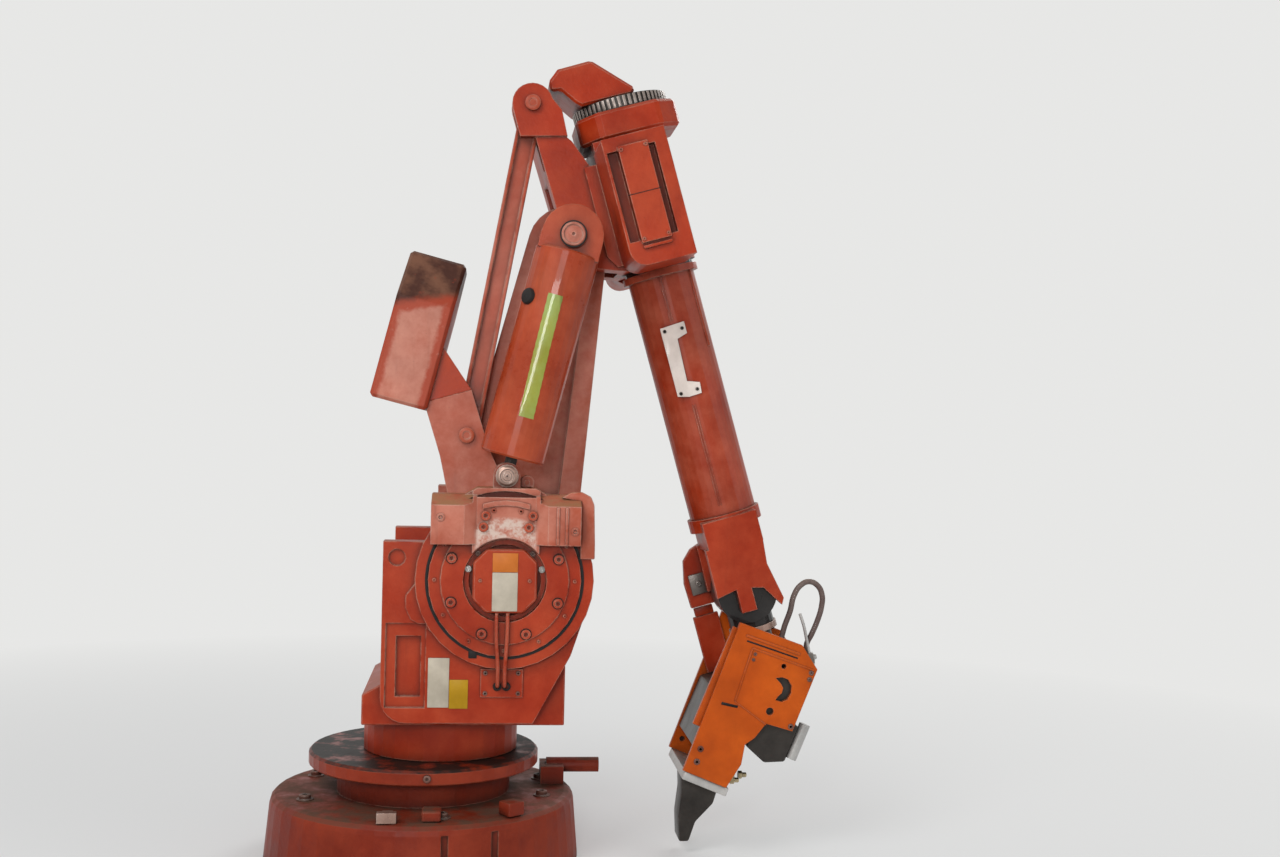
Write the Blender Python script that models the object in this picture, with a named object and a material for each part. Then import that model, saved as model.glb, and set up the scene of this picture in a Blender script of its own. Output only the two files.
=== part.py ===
"""Six-axis industrial robot arm with a parallel linkage, balance cylinders and a spot-welding gun."""
import math

import bmesh
import bpy
from mathutils import Matrix, Vector

# Running gap between touching meshes, and the clearance of pieces that move
GAP = 0.0003
CLEAR = 0.005

# Pose and main lengths: metres and degrees
SHOULDER_X = 0.235
SHOULDER_Z = 0.900
LOWER_ARM_LENGTH = 1.040
LOWER_ARM_LEAN = 9.9
ARM_TILT = 16.2
CRANK_LENGTH = 0.440
TUBE_OFFSET = 0.270
WRIST_REACH = 1.210
WRIST_LENGTH = 0.265
SPRING_PIN_RISE = 0.306
SPRING_RUN = LOWER_ARM_LENGTH * math.sin(math.radians(LOWER_ARM_LEAN))
SPRING_RISE = LOWER_ARM_LENGTH * math.cos(math.radians(LOWER_ARM_LEAN)) - SPRING_PIN_RISE
SPRING_SPAN = math.hypot(SPRING_RUN, SPRING_RISE)

# Pedestal
BASE_RADIUS = 0.490
BASE_TOP_RADIUS = 0.474
BASE_HEIGHT = 0.205
BASE_EDGE = 0.030
GROOVE_WIDTH = 0.020
BEARING_RADIUS = 0.270
DISC_RADIUS = 0.358
DISC_BOTTOM = 0.291
DISC_TOP = 0.336
STOP_LENGTH = 0.074
PIPE_RADIUS = 0.024
PIPE_LENGTH = 0.170

# Turret and its side plates, measured from the shoulder axis where they are outlines
NECK_RADIUS = 0.240
NECK_CENTRE = 0.050
BODY_BOTTOM = 0.455
BODY_TOP = 0.635
BODY_FRONT = 0.424
BODY_REAR = -0.180
BODY_SLOPE_START = -0.020
BODY_REAR_TOP = 0.545
PLATE_INNER = 0.275
PLATE_OUTER = 0.345
PLATE_REAR = -0.357
PLATE_FOOT = -0.426
PLATE_FOOT_FRONT = 0.092
PLATE_CORNER = 0.075
PLATE_HIP_X = 0.200
PLATE_HIP_Z = -0.224
LUG_TOP = 0.108
RING_OUTER = 0.262
RING_INNER = 0.229
RING_FACE = 0.370
EAR_FACE = 0.352
EAR_OUTLINE = [(-0.100, -0.240), (-0.210, -0.155), (-0.272, -0.120), (-0.288, -0.085), (-0.288, -0.050),
               (-0.262, -0.015), (-0.200, 0.010)]
FLANGE_RADIUS = 0.224
FLANGE_FACE = 0.378
STEP_RADIUS = 0.188
STEP_FACE = 0.385
BORE_RADIUS = 0.122
BORE_DEPTH = 0.024
MOTOR_COVER_HALF = 0.094
MOTOR_COVER_FACE = 0.394
CABLE_RADIUS = 0.006
PLUG_Z = -0.309

# Stop bridge above each flange, with the lug of the balance cylinder
BLOCK_INNER = 0.122
BLOCK_OUTER = 0.218
BLOCK_FOOT = 0.107
BLOCK_TOP = 0.250
BLOCK_FRONT = 0.425
BLOCK_FACE_TOP = 0.222
BLOCK_SLOPE_BACK = 0.360
SADDLE_FACE = 0.400
SADDLE_HALF = 0.098
SADDLE_TOP = 0.245
SADDLE_RADIUS = 0.126
BRIDGE_BACK = 0.255
BRIDGE_CROWN = 0.271
CYLINDER_Y = 0.300
LUG_HALF = 0.040
LUG_CHEEK = 0.020
ROD_EYE_HALF = 0.022
SPRING_PIN_RADIUS = 0.018
SPRING_PIN_HEAD = 0.034

# Lower arm, elbow shaft and shoulder hub
LOWER_HALF = 0.065
LOWER_FOOT_RADIUS = 0.215
LOWER_HEAD_RADIUS = 0.125
SHOULDER_HUB_RADIUS = 0.150
SHAFT_RADIUS = 0.036
SHAFT_END = 0.372

# Parallel linkage
ROD_Y = -0.120
ROD_HALF = 0.020
ROD_WIDTH = 0.069
ROD_EYE_RADIUS = 0.050
LINK_PIN_RADIUS = 0.018
CHEEK_NEAR = -0.172
CHEEK_FAR = -0.071
HUB_NEAR = PLATE_INNER - GAP
PARALLEL_HUB_RADIUS = 0.130
PARALLEL_ARM_END = 0.570

# Counterweight, outlined from the shoulder axis in the parallel arm's frame
WEIGHT_HALF = 0.195
WEIGHT_CORNER = (-0.099, 0.543)
WEIGHT_WIDTH = 0.178
WEIGHT_LENGTH = 0.470
WEIGHT_LEAN = 30.0
WEIGHT_SLOPE = 0.150
WEIGHT_SLOPE_DEPTH = 0.100
BRACKET_REACH = 0.200
BRACKET_FOOT = 0.012

# Balance cylinder, measured down from the elbow
CYLINDER_RADIUS = 0.097
CYLINDER_WALL = 0.007
CYLINDER_TOP = 0.049
CYLINDER_BOTTOM = SPRING_SPAN - 0.056
GLAND_RADIUS = 0.072
EAR_TOP = 0.092
EAR_HALF_DEPTH = 0.052
PISTON_LENGTH = SPRING_SPAN - 0.180

# Upper arm casting, in the upper arm's frame: x across the tube, z back along it
ARM_HALF = 0.160
ELBOW_BOSS_RADIUS = 0.095
HOUSING_RADIUS = 0.122
HOUSING_BOTTOM = -0.130
HOUSING_TOP = 0.280
WEB_OUTLINE = [(0.148, HOUSING_TOP), (0.148, 0.205), (0.121, 0.215), (0.088, 0.300), (0.055, 0.345),
               (-0.018, 0.350)]
HEAD_RADIUS = 0.063
HEAD_OUTLINE = [(-0.063, 0.352), (0.078, 0.318), (0.082, 0.399)]
MOTOR_LEFT = 0.140
MOTOR_RIGHT = 0.333
MOTOR_BOTTOM = -0.148
MOTOR_TOP = 0.238
MOTOR_END = 0.430
MOTOR_CORNER = 0.050
PANEL_END = 0.445
PANEL_LEFT = 0.182
PANEL_RIGHT = 0.272
PANEL_BOTTOM = -0.073
PANEL_TOP = 0.196
CHANNEL_LEFT = 0.149
CHANNEL_RIGHT = 0.294
CHANNEL_FLOOR = 0.400
PAD_FACE = 0.178
PAD_OUTLINE = [(0.101, 0.210), (0.360, 0.210), (0.360, -0.080), (0.336, -0.112), (0.125, -0.112), (0.101, -0.075)]
CAP_HALF = 0.162
CAP_NOTCH = 0.066
CAP_CENTRE = 0.280
CAP_HEIGHT = 0.088
COLLAR_RADIUS = 0.150
COLLAR_HEIGHT = 0.036
COVER_HALF = 0.125
COVER_OUTLINE = [(0.150, 0.0), (0.315, 0.0), (0.327, 0.018), (0.214, 0.132), (0.106, 0.129), (0.068, 0.098),
                 (0.068, 0.066), (0.098, 0.063), (0.134, 0.013)]

# Tube and wrist
TUBE_RADIUS = 0.1075
TUBE_FLANGE_RADIUS = 0.122
TUBE_FLANGE = 0.022
TUBE_END = WRIST_REACH - WRIST_LENGTH
SEAL_THICKNESS = 0.014
WRIST_BAND_RADIUS = 0.118
WRIST_BAND = 0.042
FORK_BASE = 0.158
FORK_INNER = 0.085
FORK_OUTER = 0.120
CHEEK_OUTLINE = [(-0.100, 0.170), (-0.102, 0.014), (-0.037, 0.026), (-0.037, -0.051), (0.012, -0.051),
                 (0.012, 0.020), (0.049, 0.010), (0.092, -0.058), (0.103, -0.038), (0.079, 0.081), (0.087, 0.170)]
TILT_RADIUS = 0.095
TILT_HALF = 0.080
TILT_DEPTH = 0.112
TOOL_DISC_RADIUS = 0.078
TOOL_DISC_THICKNESS = 0.020
ADAPTER_RADIUS = 0.055
BRACKET_INNER = 0.120
BRACKET_OUTER = 0.145
WRIST_BRACKET_OUTLINE = [(-0.086, 0.172), (-0.120, 0.160), (-0.152, 0.128), (-0.168, 0.053), (-0.165, -0.030),
                         (-0.080, -0.030), (-0.078, 0.080), (-0.060, 0.100), (-0.060, 0.172)]

# Spot-welding gun: its frame starts at a point of the tool's frame and slants from the tool's axis
GUN_X = -0.050
GUN_Z = -0.090
GUN_SLANT = 38.0
GUN_PLATE_INNER = 0.165
GUN_PLATE_OUTER = 0.180
GUN_FOOT = -0.478
GUN_PLATE_OUTLINE = [(-0.022, 0.013), (0.188, 0.022), (0.262, -0.030), (0.264, -0.238), (0.177, -0.247),
                     (0.161, -0.301), (0.141, -0.332), (0.154, -0.393), (0.138, GUN_FOOT), (-0.009, GUN_FOOT)]
GUN_WINDOW = [(0.150, -0.104), (0.168, -0.094), (0.188, -0.094), (0.206, -0.108), (0.213, -0.130), (0.210, -0.152),
              (0.196, -0.166), (0.176, -0.168), (0.178, -0.156), (0.186, -0.140), (0.184, -0.124), (0.172, -0.114)]
GUN_HOLES = [(0.159, -0.061, 0.008), (0.173, -0.207, 0.012), (0.248, -0.047, 0.007), (0.251, -0.068, 0.007),
             (0.253, -0.226, 0.008), (0.016, -0.396, 0.009), (0.021, -0.437, 0.009)]
CORE_TOP = 0.258
CORE_HALF = GUN_PLATE_INNER - GAP
CORE_LEFT = -0.0068
CORE_OUTLINE = [(0.248, -0.045), (0.248, -0.225), (0.165, -0.225), (0.165, -0.300), (0.135, -0.320), (0.135, -0.400),
                (CORE_LEFT, -0.400)]
SIDE_BAR_INNER = 0.150
SIDE_BAR_OUTLINE = [(-0.165, -0.066), (-0.080, -0.066), (-0.080, -CORE_TOP + GAP), (-0.165, -CORE_TOP + GAP)]
RAIL_INNER = 0.150
RAIL_OUTLINE = [(CORE_LEFT - GAP, -0.007), (CORE_LEFT - GAP, -0.335), (-0.034, -0.335), (-0.034, -0.007)]
ACTUATOR_HALF = 0.100
ACTUATOR_OUTLINE = [(0.1653, -0.2253), (0.300, -0.2253), (0.300, -0.345), (0.240, -0.372), (0.1653, -0.345)]
AIR_CYLINDER_RADIUS = 0.018
AIR_CYLINDER_X = 0.300 + GAP + AIR_CYLINDER_RADIUS
AIR_CYLINDER_Y = -0.085
AIR_CYLINDER_BOTTOM = -0.330
AIR_CYLINDER_LENGTH = 0.118
MANIFOLD_RIGHT = 0.118
MANIFOLD_TOP = 0.205

STEPS = 32
SMALL_STEPS = 16

ORANGE = (0.46, 0.10, 0.035)
GUN_ORANGE = (0.60, 0.16, 0.03)
BLACK = (0.02, 0.02, 0.022)
STEEL = (0.42, 0.41, 0.39)
DARK_STEEL = (0.12, 0.115, 0.11)


def clear_scene():
    """Remove what the scene holds."""
    for obj in list(bpy.data.objects):
        bpy.data.objects.remove(obj, do_unlink=True)


def frame(name, parent=None, at=(0.0, 0.0, 0.0), lean=0.0):
    """Empty that carries a body, leaning its Z axis toward +X by some degrees."""
    empty = bpy.data.objects.new(name, None)
    empty.empty_display_size = 0.1
    bpy.context.collection.objects.link(empty)
    empty.parent = parent
    empty.location = at
    empty.rotation_euler = (0.0, math.radians(lean), 0.0)
    return empty


def solid(bm):
    """Scene object of a finished bmesh, with its faces pointing out."""
    bmesh.ops.recalc_face_normals(bm, faces=bm.faces)
    mesh = bpy.data.meshes.new("shape")
    bm.to_mesh(mesh)
    bm.free()
    obj = bpy.data.objects.new("shape", mesh)
    bpy.context.collection.objects.link(obj)
    return obj


def prism(corners, reach):
    """Flat face of 3-D corners, extruded along a vector."""
    bm = bmesh.new()
    face = bm.faces.new([bm.verts.new(corner) for corner in corners])
    grown = bmesh.ops.extrude_face_region(bm, geom=[face])["geom"]
    moved = [part for part in grown if isinstance(part, bmesh.types.BMVert)]
    bmesh.ops.translate(bm, verts=moved, vec=reach)
    return solid(bm)


def slab(outline, near, far):
    """Closed outline of (x, z) points, extruded along Y from near to far."""
    return prism([(x, near, z) for x, z in outline], (0.0, far - near, 0.0))


def cable(route, radius, steps=6):
    """Round cable with closed ends along a smooth curve through the route's points."""
    points = [Vector(point) for point in route]
    points = [2 * points[0] - points[1], *points, 2 * points[-1] - points[-2]]
    smooth = [points[1]]
    for a, b, c, d in zip(points, points[1:], points[2:], points[3:]):
        for step in range(1, steps + 1):
            t = step / steps
            smooth.append(0.5 * (2 * b + (c - a) * t + (2 * a - 5 * b + 4 * c - d) * t ** 2
                                 + (3 * b - 3 * c + d - a) * t ** 3))
    curve = bpy.data.curves.new("shape", "CURVE")
    curve.dimensions = "3D"
    curve.bevel_depth = radius
    curve.bevel_resolution = 2
    curve.use_fill_caps = True
    line = curve.splines.new("POLY")
    line.points.add(len(smooth) - 1)
    for point, place in zip(line.points, smooth):
        point.co = (*place, 1.0)
    wire = bpy.data.objects.new("shape", curve)
    bpy.context.collection.objects.link(wire)
    bpy.context.view_layer.update()
    graph = bpy.context.evaluated_depsgraph_get()
    bm = bmesh.new()
    bm.from_mesh(bpy.data.meshes.new_from_object(wire.evaluated_get(graph)))
    bmesh.ops.remove_doubles(bm, verts=bm.verts, dist=0.00001)
    bpy.data.objects.remove(wire, do_unlink=True)
    return solid(bm)


def turned(profile, at=(0.0, 0.0, 0.0), steps=STEPS, turn=None):
    """Open profile of (radius, z) points that starts and ends on the axis, spun about Z."""
    bm = bmesh.new()
    verts = [bm.verts.new((radius, 0.0, z)) for radius, z in profile]
    edges = [bm.edges.new(pair) for pair in zip(verts, verts[1:])]
    bmesh.ops.spin(bm, geom=verts + edges, axis=(0, 0, 1), cent=(0, 0, 0),
                   angle=2 * math.pi, steps=steps, use_merge=True)
    bmesh.ops.remove_doubles(bm, verts=bm.verts, dist=0.00001)
    bmesh.ops.dissolve_degenerate(bm, edges=bm.edges, dist=0.00001)
    if turn is not None:
        bmesh.ops.transform(bm, matrix=turn, verts=bm.verts)
    bmesh.ops.translate(bm, verts=bm.verts, vec=at)
    return solid(bm)


def drum(radius, bottom, top, at=(0.0, 0.0), steps=STEPS):
    """Upright cylinder between two heights, at a place in X and Y."""
    profile = [(0, bottom), (radius, bottom), (radius, top), (0, top)]
    return turned(profile, at=(at[0], at[1], 0.0), steps=steps)


def box(left, right, near, far, bottom, top):
    """Block between its six faces."""
    return slab([(left, bottom), (right, bottom), (right, top), (left, top)], near, far)


def arc(x, z, radius, start, end, steps=8):
    """Points on a circle in X and Z, from one angle to another in degrees."""
    turns = [math.radians(start + (end - start) * i / steps) for i in range(steps + 1)]
    return [(x + radius * math.cos(t), z + radius * math.sin(t)) for t in turns]


def circle(radius, x=0.0, z=0.0, steps=STEPS):
    """Full circle in X and Z."""
    return arc(x, z, radius, 0, 360, steps)[:-1]


def pin(radius, near, far, x=0.0, z=0.0, steps=SMALL_STEPS):
    """Cylinder along Y."""
    return slab(circle(radius, x, z, steps), near, far)


def bore(radius, x=0.0, z=0.0, steps=SMALL_STEPS):
    """Cutter along Y whose flats all clear a pin of this radius by the running gap."""
    return pin((radius + GAP) / math.cos(math.pi / steps), -1.0, 1.0, x, z, steps)


def link_outline(foot_radius, head_radius, length, steps=12):
    """Outline of a link: a circle at the origin and one above it, with their common tangents."""
    slope = math.degrees(math.asin((foot_radius - head_radius) / length))
    head = arc(0, length, head_radius, slope, 180 - slope, steps)
    foot = arc(0, 0, foot_radius, 180 - slope, 360 + slope, steps + 4)
    return head + foot


def combine(target, others, operation):
    """Boolean of the target with each other shape, which is used up."""
    for other in others:
        modifier = target.modifiers.new("shape", "BOOLEAN")
        modifier.operation = operation
        modifier.solver = "EXACT"
        modifier.object = other
        bpy.context.view_layer.update()
        graph = bpy.context.evaluated_depsgraph_get()
        mesh = bpy.data.meshes.new_from_object(target.evaluated_get(graph))
        target.modifiers.clear()
        target.data = mesh
        bpy.data.objects.remove(other, do_unlink=True)
    return target


def join(target, *others):
    """Target with other shapes fused to it."""
    return combine(target, others, "UNION")


def cut(target, *others):
    """Target with other shapes taken out of it."""
    return combine(target, others, "DIFFERENCE")


def mirrored(obj):
    """Copy of a shape on the other side of the centre plane."""
    bm = bmesh.new()
    bm.from_mesh(obj.data)
    bmesh.ops.transform(bm, matrix=Matrix.Scale(-1, 4, (0, 1, 0)), verts=bm.verts)
    bmesh.ops.reverse_faces(bm, faces=bm.faces)
    return solid(bm)


def finish(obj, name, parent, colour, roughness=0.5, metallic=0.0, bevel=0.0, at=(0.0, 0.0, 0.0)):
    """Name, place, paint and soften one piece."""
    obj.name = name
    obj.data.name = name
    obj.parent = parent
    obj.location = at
    material = bpy.data.materials.new(name)
    material.use_nodes = True
    surface = material.node_tree.nodes["Principled BSDF"]
    surface.inputs["Base Color"].default_value = (*colour, 1.0)
    surface.inputs["Roughness"].default_value = roughness
    surface.inputs["Metallic"].default_value = metallic
    obj.data.materials.clear()
    obj.data.materials.append(material)
    if bevel > 0:
        modifier = obj.modifiers.new("edges", "BEVEL")
        modifier.width = bevel
        modifier.segments = 1
        modifier.limit_method = "ANGLE"
        modifier.angle_limit = math.radians(40)
    obj.data.shade_smooth()
    obj.data.set_sharp_from_angle(angle=math.radians(35))
    return obj


def both_sides(near, name, parent, *look, **more):
    """A near piece and its mirrored partner on the far side."""
    far = mirrored(near)
    finish(near, name + "_near", parent, *look, **more)
    finish(far, name + "_far", parent, *look, **more)


def make_base(root):
    """Round pedestal with the bearing neck, the stops and the cable inlet."""
    edge = [(BASE_TOP_RADIUS - BASE_EDGE * (1 - math.cos(t)), BASE_HEIGHT - BASE_EDGE * (1 - math.sin(t)))
            for t in (0.0, math.pi / 6, math.pi / 3, math.pi / 2)]
    profile = [(0, 0), (BASE_RADIUS, 0), *edge, (BEARING_RADIUS, BASE_HEIGHT),
               (BEARING_RADIUS, DISC_BOTTOM - GAP), (0, DISC_BOTTOM - GAP)]
    finish(turned(profile, steps=48), "base_casting", root, ORANGE, 0.6)

    casting = bpy.data.objects["base_casting"]
    for x in (0.078, 0.222):
        depth = math.sqrt(BASE_RADIUS ** 2 - x ** 2) - 0.026
        groove = box(x - GROOVE_WIDTH / 2, x + GROOVE_WIDTH / 2, -1.0, -depth, -0.01, BASE_HEIGHT - BASE_EDGE)
        cut(casting, groove)
    casting.data.shade_smooth()
    casting.data.set_sharp_from_angle(angle=math.radians(35))

    seat = BASE_HEIGHT + GAP
    rim = BASE_TOP_RADIUS - BASE_EDGE
    inner = rim - STOP_LENGTH
    hump = box(inner, rim, 0.030, 0.150, seat, 0.262)
    stub = turned([(0, 0), (PIPE_RADIUS, 0), (PIPE_RADIUS, PIPE_LENGTH), (0, PIPE_LENGTH)],
                  at=(inner + 0.02, 0.090, 0.256), steps=SMALL_STEPS, turn=Matrix.Rotation(math.pi / 2, 4, "Y"))
    finish(join(hump, stub), "base_cable_inlet", root, DARK_STEEL, 0.6)

    stem = box(-0.105, -0.075, -rim, -inner, seat, seat + 0.020)
    head = box(-0.118, -0.062, -rim, -rim + 0.025, seat, seat + 0.030)
    finish(join(stem, head), "stop_bracket", root, STEEL, 0.5, 0.6)
    finish(box(0.010, 0.065, -rim + 0.010, -inner, seat, seat + 0.032), "stop_block", root, ORANGE, 0.6, bevel=0.004)


def make_turret(turret, shoulder):
    """Turning disc, neck and body, and the two side plates."""
    profile = [(0, DISC_BOTTOM), (DISC_RADIUS - 0.004, DISC_BOTTOM), (DISC_RADIUS, DISC_BOTTOM + 0.004),
               (DISC_RADIUS, DISC_TOP - 0.008), (DISC_RADIUS - 0.008, DISC_TOP), (0, DISC_TOP)]
    finish(turned(profile, steps=48), "turn_disc", turret, ORANGE, 0.55)

    bottom = DISC_TOP + GAP
    inside = PLATE_INNER - GAP
    body = drum(NECK_RADIUS, bottom, BODY_BOTTOM + 0.03, at=(NECK_CENTRE, 0.0))
    outline = [(BODY_REAR, BODY_BOTTOM), (BODY_FRONT, BODY_BOTTOM), (BODY_FRONT, BODY_TOP),
               (BODY_SLOPE_START, BODY_TOP), (BODY_REAR, BODY_REAR_TOP)]
    body = join(body, slab(outline, -inside, inside))
    finish(body, "turret_body", turret, ORANGE, 0.6, bevel=0.006)

    ring_start = -math.degrees(math.asin(0.045 / RING_OUTER))
    ring_end = 180 - math.degrees(math.asin(LUG_TOP / RING_OUTER))
    outline = [(PLATE_REAR, LUG_TOP)]
    outline += arc(PLATE_REAR + PLATE_CORNER, PLATE_FOOT + PLATE_CORNER, PLATE_CORNER, 180, 270, 6)
    outline += [(PLATE_FOOT_FRONT, PLATE_FOOT), (PLATE_HIP_X, PLATE_HIP_Z)]
    outline += arc(0, 0, RING_OUTER, ring_start, ring_end, 18)
    plate = slab(outline, -PLATE_OUTER, -PLATE_INNER)
    plate = join(plate, slab(EAR_OUTLINE, -EAR_FACE, -PLATE_OUTER + 0.01))
    rim = slab(circle(RING_OUTER), -RING_FACE, -PLATE_OUTER + 0.01)
    plate = join(plate, rim)
    plate = cut(plate, slab(circle(RING_INNER), -1.0, -PLATE_OUTER))
    plate = cut(plate, box(-0.344, -0.227, -1.0, -PLATE_OUTER + 0.007, -0.380, -0.132))
    plate = cut(plate, box(-0.314, -0.241, -1.0, -PLATE_OUTER + 0.020, -0.348, -0.170))
    plate = cut(plate, pin(0.025, -1.0, -PLATE_OUTER + 0.008, -0.316, 0.061, 24))
    both_sides(plate, "side_plate", shoulder, ORANGE, 0.55)


def make_drive(shoulder):
    """Gear flange, motor cover and stop bridge on each side plate."""
    flange = slab(circle(FLANGE_RADIUS), -FLANGE_FACE, -PLATE_OUTER - GAP)
    flange = join(flange, slab(circle(STEP_RADIUS), -STEP_FACE, -PLATE_OUTER - 0.01))
    flange = cut(flange, slab(circle(BORE_RADIUS), -1.0, -STEP_FACE + BORE_DEPTH))
    both_sides(flange, "gear_flange", shoulder, ORANGE, 0.5)

    side = MOTOR_COVER_HALF
    notch = 0.42 * side
    outline = [(-side, -side + notch), (-side + notch, -side), (side - notch, -side), (side, -side + notch),
               (side, side - notch), (side - notch, side), (-side + notch, side), (-side, side - notch)]
    cover = slab(outline, -MOTOR_COVER_FACE, -STEP_FACE + BORE_DEPTH - GAP)
    both_sides(cover, "motor_cover", shoulder, ORANGE, 0.5, bevel=0.005)

    corner = BLOCK_INNER - 0.036
    outline = [(-BLOCK_OUTER, BLOCK_FOOT), (BLOCK_OUTER, BLOCK_FOOT), (BLOCK_OUTER, BLOCK_TOP), (BLOCK_INNER, BLOCK_TOP),
               (corner, BRIDGE_CROWN), (-corner, BRIDGE_CROWN), (-BLOCK_INNER, BLOCK_TOP), (-BLOCK_OUTER, BLOCK_TOP)]
    bridge = slab(outline, -STEP_FACE, -BRIDGE_BACK)
    for side in (-1, 1):
        plan = [(side * BLOCK_OUTER, -BLOCK_FRONT), (side * BLOCK_INNER, -BLOCK_FRONT), (side * corner, -SADDLE_FACE),
                (side * corner, -BLOCK_SLOPE_BACK), (side * BLOCK_OUTER, -BLOCK_SLOPE_BACK)]
        bridge = join(bridge, prism([(x, y, BLOCK_FOOT) for x, y in plan], (0, 0, BLOCK_TOP - BLOCK_FOOT - 0.001)))
        slope = (BLOCK_TOP - BLOCK_FACE_TOP) / (BLOCK_FRONT - BLOCK_SLOPE_BACK)
        wedge = [(-BLOCK_SLOPE_BACK, BLOCK_TOP), (-BLOCK_SLOPE_BACK - 0.2, BLOCK_TOP - 0.2 * slope),
                 (-BLOCK_SLOPE_BACK - 0.2, 0.5), (-BLOCK_SLOPE_BACK, 0.5)]
        bridge = cut(bridge, prism([(side * (SADDLE_HALF + 0.001), y, z) for y, z in wedge], (side * 0.5, 0, 0)))
    left = math.degrees(math.acos(SADDLE_HALF / SADDLE_RADIUS))
    saddle = [*arc(0, 0, SADDLE_RADIUS, left, 180 - left, 12), (-SADDLE_HALF, SADDLE_TOP), (SADDLE_HALF, SADDLE_TOP)]
    bridge = join(bridge, slab(saddle, -SADDLE_FACE, -STEP_FACE + 0.004))
    seat = (RING_OUTER + GAP) / math.cos(math.pi / 96)
    bridge = cut(bridge, slab(circle(seat, steps=96), -STEP_FACE - 0.0005, 0.0))
    foot = BRIDGE_CROWN - 0.004
    lug = [(LUG_HALF, foot), *arc(0, SPRING_PIN_RISE, LUG_HALF, 0, 180, 10), (-LUG_HALF, foot)]
    reach = ROD_EYE_HALF + CLEAR
    for face in (-CYLINDER_Y - reach - LUG_CHEEK, -CYLINDER_Y + reach):
        bridge = join(bridge, slab(lug, face, face + LUG_CHEEK))
    swing = pin(LUG_HALF + 0.004, -CYLINDER_Y - reach, -CYLINDER_Y + reach, 0, SPRING_PIN_RISE, 24)
    bridge = cut(bridge, swing)
    bridge = cut(bridge, bore(SPRING_PIN_RADIUS, z=SPRING_PIN_RISE))
    both_sides(bridge, "stop_bridge", shoulder, ORANGE, 0.55)

    outer = -CYLINDER_Y - reach - LUG_CHEEK
    inner = -CYLINDER_Y + reach + LUG_CHEEK
    bolt = pin(SPRING_PIN_RADIUS, outer - 0.006, inner, 0, SPRING_PIN_RISE)
    bolt = join(bolt, pin(SPRING_PIN_HEAD, outer - 0.010, outer - GAP, 0, SPRING_PIN_RISE))
    both_sides(bolt, "spring_pin", shoulder, STEEL, 0.4, 0.8)


def make_connectors(shoulder):
    """Plate below the near flange, and the two motor cables that run down to it from the motor cover."""
    face = -PLATE_OUTER - 0.006
    finish(box(-0.065, 0.060, face, -PLATE_OUTER - GAP, -0.348, -0.264), "connector_plate", shoulder, ORANGE, 0.5,
           bevel=0.001)
    over = STEP_FACE + CABLE_RADIUS + 0.001
    start = -MOTOR_COVER_HALF - 0.0007
    for name, top, foot in (("left", -0.022, -0.015), ("right", 0.010, 0.005)):
        route = [(top, -STEP_FACE, start), (top, -STEP_FACE, start - 0.003), (top, -STEP_FACE, start - 0.006),
                 (top, -over - 0.001, start - 0.020), (top, -over - 0.001, -BORE_RADIUS - 0.020),
                 (top * 0.7 + foot * 0.3, -over - 0.002, -0.190), (foot, -over - 0.002, -0.250),
                 (foot, -over + 0.006, PLUG_Z + 0.012), (foot, face - 0.024, PLUG_Z), (foot, face - 0.014, PLUG_Z),
                 (foot, face - 0.0006, PLUG_Z)]
        finish(cable(route, CABLE_RADIUS), "motor_cable_" + name, shoulder, ORANGE, 0.6)


def make_lower_arm(arm):
    """Lower arm with its far shoulder hub, and the elbow shaft through its head."""
    body = slab(link_outline(LOWER_FOOT_RADIUS, LOWER_HEAD_RADIUS, LOWER_ARM_LENGTH), -LOWER_HALF, LOWER_HALF)
    body = join(body, pin(SHOULDER_HUB_RADIUS, LOWER_HALF - 0.01, PLATE_INNER - GAP, steps=STEPS))
    body = cut(body, bore(SHAFT_RADIUS, z=LOWER_ARM_LENGTH, steps=24))
    pocket = [(0.125, 0.26), (0.085, 0.86), (-0.085, 0.86), (-0.125, 0.26)]
    body = cut(body, slab(pocket, -1.0, -LOWER_HALF + 0.025))
    body = cut(body, slab(pocket, LOWER_HALF - 0.025, 1.0))
    finish(body, "lower_arm", arm, ORANGE, 0.55)

    shaft = pin(SHAFT_RADIUS, -SHAFT_END, SHAFT_END, 0, LOWER_ARM_LENGTH, 24)
    finish(shaft, "elbow_shaft", arm, STEEL, 0.4, 0.8)


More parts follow.
